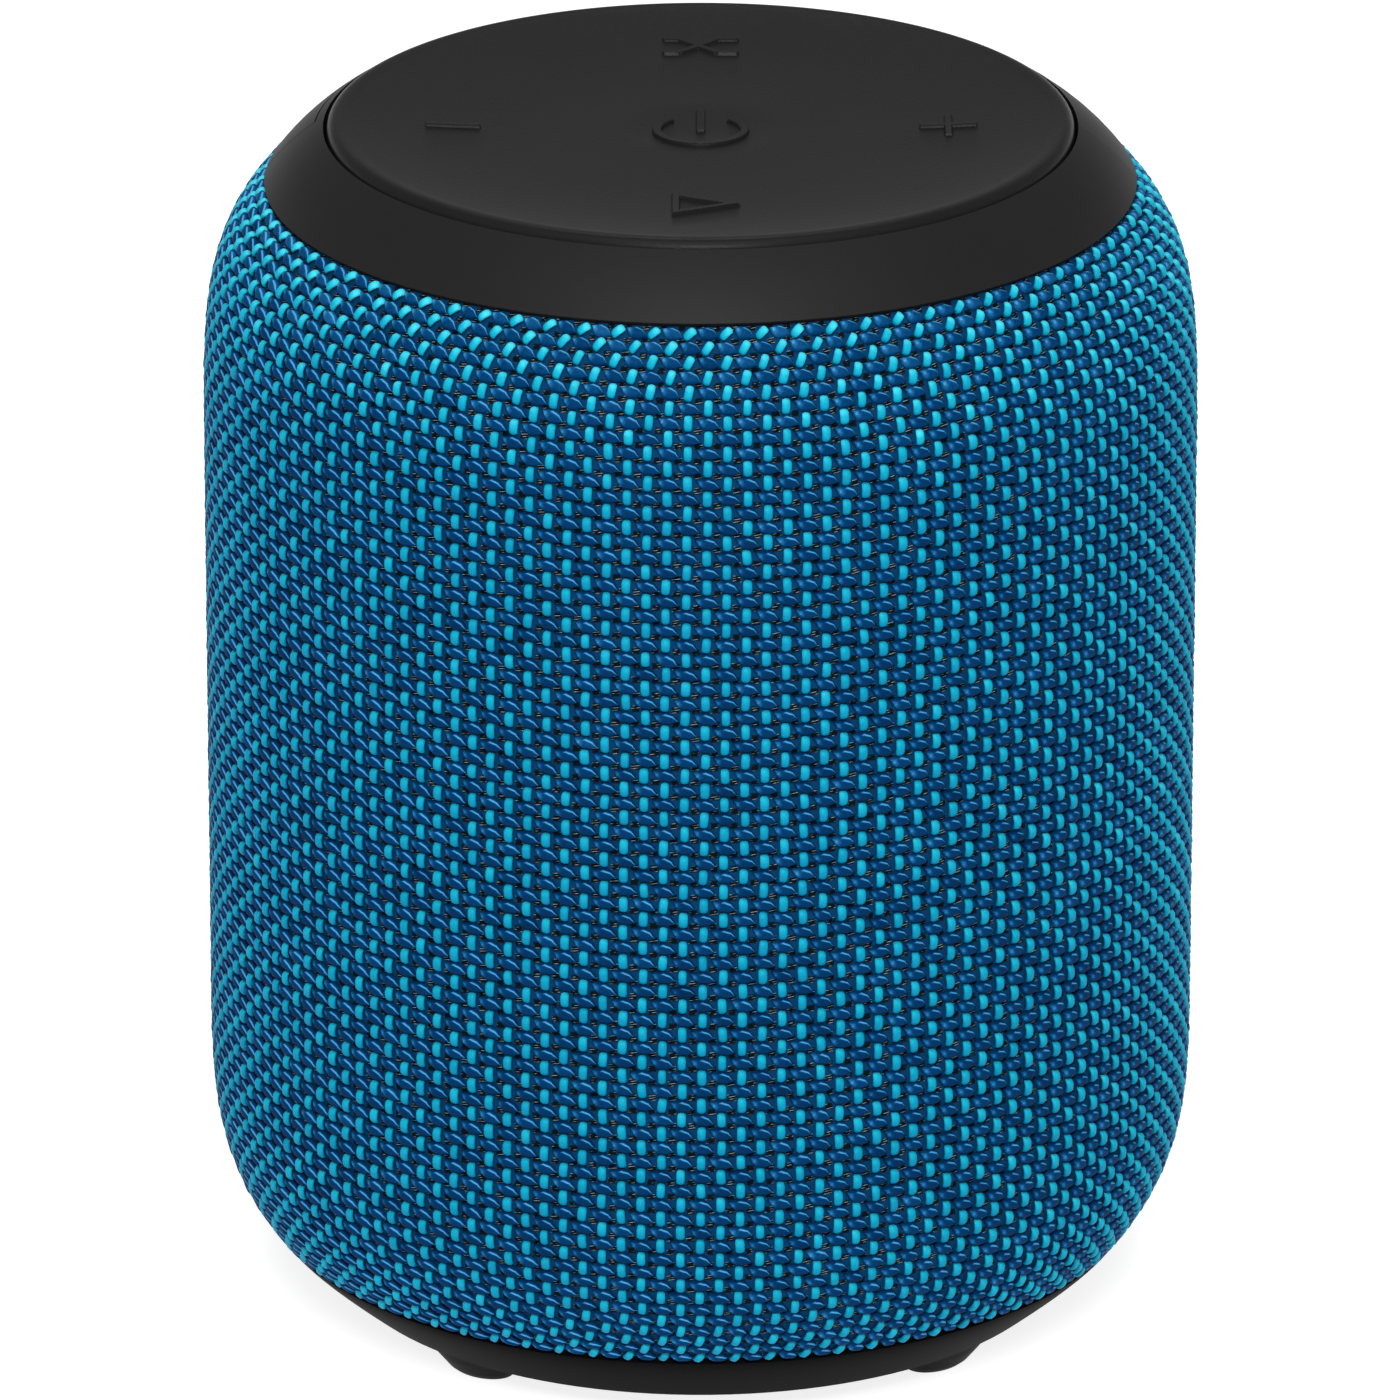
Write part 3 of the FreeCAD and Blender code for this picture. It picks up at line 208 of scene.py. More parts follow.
def ground_material():
    """Under layer of the weave: navy weft and warp seen between the strands, darkened by painted shade towards the
    dark holes at the corners of the cells with short pale threads in them. The cell attribute holds the column and the
    row, whole at their middles."""
    material, tree, principled = new_material("weave_backing", Roughness=0.85, Specular_IOR_Level=0.08)
    cell = add(tree, "Attribute", attribute_name="cell").outputs["Vector"]
    split = add(tree, "SeparateXYZ", {0: cell})
    across, along = split.outputs[0], split.outputs[1]
    from_column = maths(tree, "PINGPONG", across, 0.5)
    from_row = maths(tree, "PINGPONG", along, 0.5)
    patches = add(tree, "TexNoise", {"Vector": cell, "Scale": 2.6, "Detail": 2.0}).outputs["Fac"]
    wobble = maths(tree, "MULTIPLY", maths(tree, "SUBTRACT", patches, 0.5), 0.3)
    past_column = maths(tree, "SUBTRACT", from_column, HOLE_FROM_COLUMN)
    side = maths(tree, "MULTIPLY", maths(tree, "ADD", past_column, wobble), 9.0)
    end = maths(tree, "MULTIPLY", maths(tree, "SUBTRACT", from_row, HOLE_FROM_ROW), 8.0)
    hole = maths(tree, "MINIMUM", side, end)
    yarn = ramp(tree, hole, [(0.0, NAVY_UNDER), (0.35, NAVY_PAINTED_SHADE), (0.9, HOLE_BLACK)])
    slant = maths(tree, "ADD", maths(tree, "MULTIPLY", along, 6.0), maths(tree, "MULTIPLY", across, -1.3))
    thread = maths(tree, "GREATER_THAN", maths(tree, "PINGPONG", slant, 0.5), 0.42)
    drawn = add(tree, "Mapping", {"Vector": cell, "Scale": (3.0, 9.0, 1.0)}).outputs["Vector"]
    dashes = add(tree, "TexNoise", {"Vector": drawn, "Scale": 1.0, "Detail": 0.0}).outputs["Fac"]
    lit = maths(tree, "MULTIPLY", maths(tree, "GREATER_THAN", hole, 0.3),
                maths(tree, "MULTIPLY", thread, maths(tree, "GREATER_THAN", dashes, 0.5)))
    pale = ramp(tree, dashes, [(0.5, THREAD_DIM), (0.66, THREAD_PALE)])
    mixed = add(tree, "MixRGB", {"Fac": lit, "Color1": yarn, "Color2": pale})
    tree.links.new(mixed.outputs["Color"], principled.inputs["Base Color"])
    return material


SILICONE = finish_material("silicone", grey(0.0104), grey(0.0140), 6500.0, 0.000024, Roughness=0.32,
                           Specular_IOR_Level=0.06)
BEZEL = finish_material("soft_touch", grey(0.0114), grey(0.0133), 3000.0, 0.000003, Roughness=0.5,
                        Specular_IOR_Level=0.12)
MATERIALS = {
    "keypad_silicone": SILICONE,
    "bezel_plastic": BEZEL,
    "cover_rubber": BEZEL,
    "base_plastic": finish_material("base_satin", grey(0.0036), grey(0.0048), 3600.0, 0.000005, Roughness=0.5,
                                    Specular_IOR_Level=0.008),
    "foot_rubber": finish_material("foot_rubber", grey(0.007), grey(0.009), 4200.0, 0.000006, Roughness=0.5,
                                   Specular_IOR_Level=0.03),
    "grille_plastic": finish_material("grille_black", grey(0.012), grey(0.02), 2500.0, 0.00001, Roughness=0.6),
    "inner_plastic": finish_material("inner_black", grey(0.025), grey(0.045), 1800.0, 0.00002, Roughness=0.6),
    "socket_plastic": finish_material("socket_black", grey(0.02), grey(0.035), 2600.0, 0.00001, Roughness=0.5),
    "board_laminate": finish_material("solder_mask", (0.006, 0.07, 0.03), (0.02, 0.17, 0.075), 900.0, 0.00001,
                                      stretch=(1, 0.2, 1), Roughness=0.35, Coat_Weight=0.3),
    "component_plastic": finish_material("package_black", grey(0.02), grey(0.05), 2500.0, 0.00001, Roughness=0.55),
    "steel_can": finish_material("tinned_sheet", grey(0.45), grey(0.62), 1500.0, 0.000005, stretch=(1, 0.08, 1),
                                 Roughness=0.32, Metallic=1.0),
    "stem_plastic": finish_material("stem_brown", (0.09, 0.045, 0.02), (0.16, 0.08, 0.035), 2500.0, 0.00001,
                                    Roughness=0.5),
    "screw_steel": finish_material("screw_steel", grey(0.35), grey(0.5), 3000.0, 0.000005, Roughness=0.3,
                                   Metallic=1.0),
    "basket_steel": finish_material("basket_black", grey(0.02), grey(0.035), 1600.0, 0.00001, Roughness=0.4,
                                    Metallic=0.3),
    "plated_steel": finish_material("zinc_plate", grey(0.42, 0.02), grey(0.58, 0.04), 700.0, 0.000005,
                                    Roughness=0.34, Metallic=1.0),
    "magnet_ferrite": finish_material("ferrite", grey(0.03), grey(0.06), 1400.0, 0.00003, Roughness=0.65),
    "contact_metal": finish_material("contact_gold", (0.60, 0.42, 0.16), (0.78, 0.56, 0.25), 2000.0, 0.000004,
                                     Roughness=0.28, Metallic=1.0),
    "coil_wire": finish_material("coil_copper", (0.42, 0.14, 0.05), (0.70, 0.28, 0.12), 3500.0, 0.00003,
                                 stretch=(0.1, 0.1, 2.0), Roughness=0.35, Metallic=1.0),
    "cell_can": finish_material("cell_wrap", (0.02, 0.12, 0.36), (0.04, 0.18, 0.46), 700.0, 0.00001,
                                stretch=(1, 1, 0.15), Roughness=0.3),
    "lead_insulation": finish_material("lead_grey", grey(0.22), grey(0.34), 2200.0, 0.00001, Roughness=0.45),
    "cone_paper": finish_material("cone_paper", grey(0.018), grey(0.042), 1500.0, 0.00005, stretch=(1, 1, 0.3),
                                  Roughness=0.85),
    "surround_rubber": finish_material("surround_rubber", grey(0.015), grey(0.024), 2500.0, 0.00001,
                                       Roughness=0.55),
    "spider_cloth": finish_material("spider_cloth", (0.30, 0.20, 0.06), (0.46, 0.33, 0.12), 2800.0, 0.00005,
                                    Roughness=0.9),
    "radiator_metal": finish_material("anodised_plate", grey(0.10), grey(0.18), 1800.0, 0.000006,
                                      stretch=(1, 0.06, 1), Roughness=0.36, Metallic=0.9),
}
for node in frame["nodes"].values():
    for place, old in enumerate(node.data.materials):
        base_name = old.name.split(".")[0]
        if base_name in MATERIALS:
            node.data.materials[place] = MATERIALS[base_name]

# ---- woven sleeve -------------------------------------------------------------------------------

WALL_R = 40.0
TOP_START, TOP_SPAN, TOP_FALL, TOP_POWER = 70.2, 25.36, 5.07, 4.9
LOW_START, LOW_SPAN, LOW_FALL, LOW_POWER = 26.7, 19.05, 4.30, 3.5
SLEEVE_LOW_Z, SLEEVE_TOP_Z = 7.65, 95.56
COLUMNS, ROWS = 158, 74
FIRST_ROW = 0.465          # from the lower edge to the middle of the first row
LEAN = 0.013               # how far the columns lean to the right, degrees per mm of height
LEAN_FROM = 0.24 - 35 * LEAN
GROUND_N = -0.60           # the backing lies this far under the outer surface
PANELS = 8
BACKING_PAST_LOW, BACKING_PAST_TOP, BACKING_LINES = 0.25, 0.05, 181


def sleeve_curve():
    """Arc length, radius, height and outward normal along the sleeve's outline, from below its lower edge to above
    its upper one."""
    z = np.linspace(SLEEVE_LOW_Z - 0.5, SLEEVE_TOP_Z + 0.4, 4000)
    up = np.clip((z - TOP_START) / TOP_SPAN, 0, None)
    down = np.clip((LOW_START - z) / LOW_SPAN, 0, None)
    r = WALL_R - TOP_FALL * up ** TOP_POWER - LOW_FALL * down ** LOW_POWER
    slope = (-TOP_FALL * TOP_POWER / TOP_SPAN * up ** (TOP_POWER - 1)
             + LOW_FALL * LOW_POWER / LOW_SPAN * down ** (LOW_POWER - 1))
    length = np.hypot(1, slope)
    arc = np.concatenate([[0], np.cumsum(np.hypot(np.diff(z), np.diff(r)))])
    arc -= np.interp(SLEEVE_LOW_Z, z, arc)
    return arc, r, z, 1 / length, -slope / length


ARC, ARC_R, ARC_Z, ARC_NR, ARC_NZ = sleeve_curve()
SLEEVE_LENGTH = float(np.interp(SLEEVE_TOP_Z, ARC_Z, ARC))
PITCH = SLEEVE_LENGTH / ROWS


def on_sleeve(angle, along, height):
    """Points at an azimuth in radians, an arc length up the sleeve and a height off its surface."""
    radius = np.interp(along, ARC, ARC_R) + height * np.interp(along, ARC, ARC_NR)
    z = np.interp(along, ARC, ARC_Z) + height * np.interp(along, ARC, ARC_NZ)
    return np.stack([radius * np.sin(angle), -radius * np.cos(angle), z], -1)


def column_angle(column, along):
    """Azimuth of a column of the weave, in radians from the front."""
    return np.radians(LEAN_FROM + LEAN * along + column * 360.0 / COLUMNS)


def tube(stations, sides, tip_start, tip_end):
    """A closed strand. stations are (across, along, height, half width, half thickness) of each section, and the tips
    are the points that close it. Returns points and faces as quads and triangles."""
    points = []
    turn = (np.arange(sides) + 0.5) * 2 * math.pi / sides
    flat = np.sign(np.cos(turn)) * np.abs(np.cos(turn)) ** 0.8
    round_ = np.sign(np.sin(turn)) * np.abs(np.sin(turn)) ** 0.9
    for across, along, height, width, thick in stations:
        points.append(np.stack([across + width * flat, np.full(sides, along), height + thick * round_], -1))
    points = np.concatenate(points)
    count = len(stations)
    quads = grid_faces(count, sides, True)
    c = np.arange(sides)
    d = (c + 1) % sides
    start, end = count * sides, count * sides + 1
    last = (count - 1) * sides
    tris = np.concatenate([np.stack([np.full(sides, start), d, c], -1),
                           np.stack([np.full(sides, end), last + c, last + d], -1)])
    return np.concatenate([points, [tip_start, tip_end]]), quads, tris


FLOAT_HALF_W, FLOAT_HALF_T = 0.365, 0.21
FLOAT_TOP, FLOAT_ARCH, FLOAT_SPAN = 0.02, 0.30, 0.62     # the float's crest, how far its ends sink, its half length
FLOAT_TIP, FLOAT_TIP_N = 0.645, -0.46
FLOAT_OUTLINE = ((-0.60, 0.62), (-0.50, 0.90), (-0.28, 1.0), (0.05, 1.0), (0.32, 1.0), (0.51, 0.90), (0.60, 0.62))
FLOAT_SIDES = 8


def float_template():
    """One bright warp float: a short fat strand, domed across and arched along its length. FLOAT_OUTLINE pairs places
    along it with shares of its width."""
    stations = []
    for y, share in FLOAT_OUTLINE:
        top = FLOAT_TOP - FLOAT_ARCH * abs(y / FLOAT_SPAN) ** 3.2
        stations.append((0.0, y, top - FLOAT_HALF_T, FLOAT_HALF_W * share, FLOAT_HALF_T))
    points, quads, tris = tube(stations, FLOAT_SIDES, (0.0, -FLOAT_TIP, FLOAT_TIP_N), (0.0, FLOAT_TIP, FLOAT_TIP_N))
    # Painted highlight and shade: each float is painted lighter towards its upper end and its upper-left corner, and
    # darker towards its lower end, as light from above falls on it.
    upper_left_highlight = np.clip(-points[:, 0] / 0.36, -1, 1) * np.clip(points[:, 1] / 0.5, 0, 1)
    tone = 0.42 + 0.30 * np.clip(points[:, 1] / 0.6, -1, 1) + 0.12 * upper_left_highlight
    return points, quads, tris, tone


LEAF_TOP = ((-0.95, 0.38), (-0.48, 0.48), (0.08, 0.53), (0.60, 0.28), (0.95, -0.32))
LEAF_LOW = ((-0.95, 0.38), (-0.68, -0.10), (-0.32, -0.47), (0.34, -0.50), (0.95, -0.32))
LEAF_STATIONS = 9
LEAF_LINES = (0, 0.14, 0.38, 0.62, 0.77, 0.86, 0.94, 1.0)   # closer together at the crest of the upper ply
LEAF_GROOVE, LEAF_CREST = 0.70, 0.86                        # places across the leaf, from its lower edge
LEAF_FOOT, LEAF_DOME = -0.44, 0.46                          # height of its edge off the surface, and its rise


def bell(place, middle, width):
    """A smooth bump of height 1."""
    return np.exp(-((place - middle) / width) ** 2)


def leaf_template():
    """One navy weft bundle: twisted plies that cross it on a slant, as a domed leaf pointed at two corners. The tone
    carries a painted highlight along the crest of the upper ply and a painted sheen on the flank of the lower one."""
    u = np.linspace(0, 1, LEAF_STATIONS)[None, :]
    v = np.array(LEAF_LINES)[:, None]
    knots = np.linspace(0, 1, len(LEAF_TOP))

    def edge(curve, axis):
        return np.interp(u, knots, [point[axis] for point in curve])
    across = edge(LEAF_LOW, 0) * (1 - v) + edge(LEAF_TOP, 0) * v
    along = edge(LEAF_LOW, 1) * (1 - v) + edge(LEAF_TOP, 1) * v
    dome = 1 - np.abs(2 * v - 1) ** 3.0
    groove = bell(v, LEAF_GROOVE, 0.10) * (u > 0.3)
    height = (LEAF_FOOT + LEAF_DOME * dome ** 0.6) * np.ones_like(u) - 0.26 * np.abs(2 * u - 1) ** 3.0 - 0.05 * groove
    # Painted highlight along the crest of the upper ply and painted sheen on the lower ply's flank; the leaf is also
    # painted slightly lighter towards its upper edge.
    crest = bell(v, LEAF_CREST, 0.055) * np.clip((u - 0.38) / 0.14, 0, 1) * np.clip((1.12 - u) / 0.2, 0, 1)
    flank = bell(u - 0.2 * (1 - v), 0.13, 0.13) * bell(v, 0.45, 0.42)
    tone = 0.12 + 0.05 * v + 0.95 * crest + 0.60 * flank
    points = np.stack([across, along, height], -1).reshape(-1, 3)
    quads = grid_faces(len(LEAF_LINES), LEAF_STATIONS, False)
    return points, quads, np.zeros((0, 3), dtype=int), tone.ravel()


TOP_LEAN, TOP_LEAN_ROWS = 0.85, 8.0
LOW_LEAN, LOW_LEAN_ROWS = 0.55, 6.0
TOP_LIGHT_ROWS = 12.0         # the rows under the bezel, painted lighter as a painted highlight for the light from above
WIDTH_SPREAD, ACROSS_SPREAD, ALONG_SPREAD, HEIGHT_SPREAD, TONE_SPREAD = 0.035, 0.02, 0.018, 0.018, 0.05


def row_lean(row):
    """How far the strands of a row lean over, in radians: strongly near the sleeve's two ends."""
    from_top = ROWS - 1 - row
    top = TOP_LEAN * np.clip(1 - from_top / TOP_LEAN_ROWS, 0, 1) ** 2.2
    low = LOW_LEAN * np.clip(1 - row / LOW_LEAN_ROWS, 0, 1) ** 1.2
    return top + low


def weave(name, parity, template, material, jitter, lean_share, painted_top_light):
    """The strands of one colour, in panels round the sleeve. parity says which cells they take, jitter is how far
    they turn at random, lean_share is how much of their row's lean they take, and the top-row gain paints a highlight
    onto the top rows."""
    points, quads, tris, tone = template
    pieces = []
    edges = np.linspace(0, COLUMNS, PANELS + 1).astype(int)
    for panel in range(PANELS):
        column, row = np.meshgrid(np.arange(edges[panel], edges[panel + 1]), np.arange(ROWS), indexing="ij")
        chosen = (column + row) % 2 == parity
        column, row = column[chosen], row[chosen]
        count = len(column)
        turn = rng.normal(0, jitter, count) - row_lean(row) * lean_share
        grow = rng.normal(1.0, WIDTH_SPREAD, (count, 2))
        a = points[None, :, 0] * grow[:, :1]
        b = points[None, :, 1] * grow[:, 1:]
        cos, sin = np.cos(turn)[:, None], np.sin(turn)[:, None]
        across = a * cos - b * sin + rng.normal(0, ACROSS_SPREAD, (count, 1))
        middle = (FIRST_ROW + PITCH * row)[:, None]
        along = a * sin + b * cos + middle + rng.normal(0, ALONG_SPREAD, (count, 1))
        height = points[None, :, 2] + rng.normal(0, HEIGHT_SPREAD, (count, 1))
        angle = column_angle(column[:, None], along) + across / WALL_R
        verts = on_sleeve(angle, along, height).reshape(-1, 3)
        # Painted highlight: strands in the top rows are painted lighter, on top of a random tone for each strand.
        top_light_share = np.clip(1 - (ROWS - 1 - row) / TOP_LIGHT_ROWS, 0, 1)[:, None]
        tone_and_painted_light = (tone[None, :] + painted_top_light * top_light_share + rng.normal(0, TONE_SPREAD, (count, 1))).ravel()
        offset = (np.arange(count) * len(points))[:, None, None]
        faces = [(quads[None] + offset).reshape(-1, 4)]
        if len(tris):
            faces.append((tris[None] + offset).reshape(-1, 3))
        piece = make_object(f"{name}_{panel}", verts, faces, material, tone=tone_and_painted_light)
        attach(piece, "housing")
        pieces.append(piece)
    return pieces


def backing():
    """The sheet behind the strands."""
    along = np.linspace(-BACKING_PAST_LOW, SLEEVE_LENGTH + BACKING_PAST_TOP, BACKING_LINES)
    columns = COLUMNS * 2
    column = np.arange(columns) / 2.0
    angle = column_angle(column[None, :], along[:, None])
    verts = on_sleeve(angle, along[:, None] + 0 * angle, np.full(angle.shape, GROUND_N)).reshape(-1, 3)
    rows = (along[:, None] - FIRST_ROW) / PITCH
    cells = np.stack([np.repeat(column[None], len(along), 0), np.repeat(rows, columns, 1),
                      np.zeros(angle.shape)], -1)
    # The seam column is repeated so that the cell numbers don't jump back across one face.
    verts = verts.reshape(len(along), columns, 3)
    verts = np.concatenate([verts, verts[:, :1]], 1).reshape(-1, 3)
    last = cells[:, :1].copy()
    last[..., 0] = COLUMNS
    cells = np.concatenate([cells, last], 1).reshape(-1, 3)
    faces = [grid_faces(len(along), columns + 1, False)]
    return make_object("weave_backing", verts, faces, ground_material(), vectors=cells)


# The stops above the middle of both ramps give the colours of the painted highlights and sheen.
WARP_TONES = [(0.0, (0.0003, 0.165, 0.31)), (0.4, (0.0003, 0.235, 0.385)), (0.75, (0.006, 0.38, 0.53)),
              (1.0, (0.05, 0.62, 0.76))]
WEFT_TONES = [(0.0, (0.0002, 0.017, 0.062)), (0.3, (0.0002, 0.036, 0.120)), (0.6, (0.010, 0.120, 0.30)),
              (1.0, (0.07, 0.34, 0.62))]
WARP = fabric_material("warp_cyan", WARP_TONES, Roughness=0.4, Specular_IOR_Level=0.06)
WEFT = fabric_material("weft_navy", WEFT_TONES, Roughness=0.5, Specular_IOR_Level=0.02)
warp_pieces = weave("weave_warp", 0, float_template(), WARP, jitter=0.04, lean_share=1.0, painted_top_light=0.42)
weft_pieces = weave("weave_weft", 1, leaf_template(), WEFT, jitter=0.05, lean_share=0.0, painted_top_light=0.20)
sheet = backing()
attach(sheet, "housing")
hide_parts("fabric_sleeve")

# ---- keypad -------------------------------------------------------------------------------------

CREST_R, CREST_Z = 29.04, 100.6
PAD_R, PAD_UNDERSIDE = 29.95, 98.1
DISH_DEPTH = 0.95
WELL_R, WELL_DEPTH = 7.0, 0.30
KEY_R, KEY_PITCH_R = 5.6, 19.8
MARK_HEIGHT, MARK_HALF = 0.28, 0.31
PLUNGER_R, SWITCH_TOP = 1.4, 95.9
RING_R = 27.0              # inside this the pad is a free mesh, outside it rings
SEGMENTS, KEY_SEGMENTS = 288, 160
KEY_SHOULDER_Z, KEY_SHOULDER_IN, KEY_FOOT_IN = 99.0, 0.05, 0.12
FINE, COARSE = 0.08, 0.4   # spacing of a key's points at its symbol's walls, and away from them
WALL_ZONE = 0.2            # how far from a symbol's edge the fine points reach
SYMBOL_EDGE, SYMBOL_WALL = 0.055, 0.13


def dish(x, y):
    """Height of the keypad's surface without its symbols."""
    r = np.hypot(x, y)
    well = np.where(r < WELL_R, WELL_DEPTH * 0.5 * (1 + np.cos(math.pi * np.minimum(r, WELL_R) / WELL_R)), 0)
    return CREST_Z - DISH_DEPTH * (1 - (r / CREST_R) ** 4) - well


def bar(x, y, start, end, half=MARK_HALF, corner=0.08):
    """Distance to a straight bar with slightly softened corners."""
    run = math.hypot(end[0] - start[0], end[1] - start[1])
    u = ((end[0] - start[0]) / run, (end[1] - start[1]) / run)
    px, py = x - (start[0] + end[0]) / 2, y - (start[1] + end[1]) / 2
    along = np.abs(px * u[0] + py * u[1]) - run / 2 + corner
    across = np.abs(py * u[0] - px * u[1]) - half + corner
    outside = np.hypot(np.maximum(along, 0), np.maximum(across, 0))
    return outside + np.minimum(np.maximum(along, across), 0) - corner


POWER_RING_R, POWER_RING_DROP, POWER_MARK_W = 3.88, 0.15, 0.76
POWER_RING_GAP = math.radians(42.0)
POWER_BAR = ((0, -0.05), (0, 4.4))
PLAY_CORNERS = [(-1.95, -21.6), (-1.95, -17.0), (2.45, -19.3)]
MINUS_HALF, PLUS_HALF = 2.2, 2.3


def mark_power(x, y):
    """Broken ring with a bar in its gap."""
    half = POWER_MARK_W / 2
    middle = POWER_RING_R - half
    up = y + POWER_RING_DROP
    ring = np.abs(np.hypot(x, up) - middle) - half
    past_end = math.cos(POWER_RING_GAP) * -np.abs(x) + math.sin(POWER_RING_GAP) * up
    arc = np.maximum(ring, past_end)
    return np.minimum(arc, bar(x, y, *POWER_BAR, half, 0.12))


def mark_play(x, y):
    """Outline of a triangle that points to the right."""
    inside = np.full(x.shape, -np.inf)
    for (x0, y0), (x1, y1) in zip(PLAY_CORNERS, PLAY_CORNERS[1:] + PLAY_CORNERS[:1]):
        run = math.hypot(x1 - x0, y1 - y0)
        inside = np.maximum(inside, ((y - y0) * (x1 - x0) - (x - x0) * (y1 - y0)) / run)
    return np.abs(inside) - MARK_HALF


def mark_minus(x, y):
    return bar(x, y, (-KEY_PITCH_R - MINUS_HALF, 0), (-KEY_PITCH_R + MINUS_HALF, 0))


def mark_plus(x, y):
    level = bar(x, y, (KEY_PITCH_R - PLUS_HALF, 0), (KEY_PITCH_R + PLUS_HALF, 0))
    return np.minimum(level, bar(x, y, (KEY_PITCH_R, -PLUS_HALF), (KEY_PITCH_R, PLUS_HALF)))


def mark_pairing(x, y):
    """Two crossed strokes with level ends."""
    def stroke(x0, y0, x1, y1):
        return bar(x, y - KEY_PITCH_R, (x0, y0), (x1, y1), MARK_HALF, 0.2)
    parts = []
    for s in (-1, 1):
        parts += [stroke(-3.1, 1.5 * s, -1.6, 1.5 * s), stroke(-1.8, 1.6 * s, 1.4, -1.6 * s),
                  stroke(1.2, -1.5 * s, 3.1, -1.5 * s)]
    return np.minimum.reduce(parts)


def rise(distance):
    """Share of a raised symbol's height at a distance from its edge: a steep wall with soft edges."""
    t = np.clip((SYMBOL_EDGE - distance) / SYMBOL_WALL, 0, 1)
    return t * t * (3 - 2 * t)


def circle(radius, segments, centre):
    """Points on a circle, seen from above."""
    angle = np.arange(segments) * 2 * math.pi / segments
    return np.stack([centre[0] + radius * np.cos(angle), centre[1] + radius * np.sin(angle)], -1)


def triangulate(loops, inner, keep):
    """Triangles over free points with closed loops as edges. keep says which triangle middles belong."""
    edges, base = [], 0
    for loop in loops:
        n = len(loop)
        edges += [(base + i, base + (i + 1) % n) for i in range(n)]
        base += n
    flat = np.concatenate(loops + [inner])
    out = delaunay_2d_cdt([Vector(p) for p in flat.tolist()], edges, [], 0, 1e-7)
    xy = np.array([(v.x, v.y) for v in out[0]])
    tris = np.array([f for f in out[2] if len(f) == 3])
    middle = xy[tris].mean(1)
    tris = tris[keep(middle[:, 0], middle[:, 1])]
    a, b, c = xy[tris[:, 0]], xy[tris[:, 1]], xy[tris[:, 2]]
    area = (b[:, 0] - a[:, 0]) * (c[:, 1] - a[:, 1]) - (b[:, 1] - a[:, 1]) * (c[:, 0] - a[:, 0])
    tris[area < 0] = tris[area < 0][:, ::-1]
    return xy, tris[np.abs(area) > 1e-9]


def surface_normals(height, xy, step=0.02):
    """Upward normals of the surface that a height function gives."""
    x, y = xy[:, 0], xy[:, 1]
    dx = (height(x + step, y) - height(x - step, y)) / (2 * step)
    dy = (height(x, y + step) - height(x, y - step)) / (2 * step)
    n = np.stack([-dx, -dy, np.ones(len(x))], -1)
    return n / np.linalg.norm(n, axis=1, keepdims=True)


def lattice(radius, centre, spacing):
    """Points in staggered rows that fill a disc."""
    n = int(radius / spacing) + 1
    steps = np.arange(-n, n + 1) * spacing
    x, y = np.meshgrid(steps, steps)
    x = x + (np.arange(2 * n + 1)[:, None] % 2) * spacing / 2
    x, y = x.ravel(), y.ravel()
    inside = np.hypot(x, y) < radius
    return np.stack([x[inside] + centre[0], y[inside] + centre[1]], -1)


def join(parts):
    """Stacks (verts, faces, normals) parts; a part without normals gets zeros, which keep the smooth ones."""
    verts, faces, normals, base = [], [], [], 0
    for part_verts, part_faces, part_normals in parts:
        verts.append(part_verts)
        faces.append(np.asarray(part_faces) + base)
        normals.append(np.zeros((len(part_verts), 3)) if part_normals is None else part_normals)
        base += len(part_verts)
    return np.concatenate(verts), faces, np.concatenate(normals)


def key_body(centre, radius, segments):
    """The side, underside and plunger of a key, below its top edge."""
    rim = circle(radius, segments, centre)
    rings = [np.column_stack([rim, dish(rim[:, 0], rim[:, 1])])]
    for inset, z in ((KEY_SHOULDER_IN, KEY_SHOULDER_Z), (KEY_FOOT_IN, PAD_UNDERSIDE)):
        rings.append(np.column_stack([circle(radius - inset, segments, centre), np.full(segments, z)]))
    side = np.concatenate(rings[::-1])
    foot = radius - KEY_FOOT_IN
    under, under_faces = revolve([(PLUNGER_R, PAD_UNDERSIDE), (foot, PAD_UNDERSIDE)], segments, centre)
    bevel = 0.1
    stem, stem_faces = revolve([(0.001, SWITCH_TOP), (PLUNGER_R - bevel, SWITCH_TOP), (PLUNGER_R, SWITCH_TOP + bevel),
                                (PLUNGER_R, PAD_UNDERSIDE)], segments, centre)
    return [(side, grid_faces(3, segments, True), None), (under, under_faces, None), (stem, stem_faces, None)]


def key_top(centre, radius, mark, segments, height):
    """The face of a key with its raised symbol, meshed finely at the symbol's walls."""
    fine = lattice(radius - 0.1, centre, FINE)
    near = np.abs(mark(fine[:, 0], fine[:, 1])) < WALL_ZONE
    coarse = lattice(radius - 0.25, centre, COARSE)
    far = np.abs(mark(coarse[:, 0], coarse[:, 1])) >= WALL_ZONE
    inner = np.concatenate([fine[near], coarse[far]])
    xy, tris = triangulate([circle(radius, segments, centre)], inner,
                           lambda x, y: np.hypot(x - centre[0], y - centre[1]) < radius)
    return np.column_stack([xy, height(xy[:, 0], xy[:, 1])]), tris, surface_normals(height, xy)


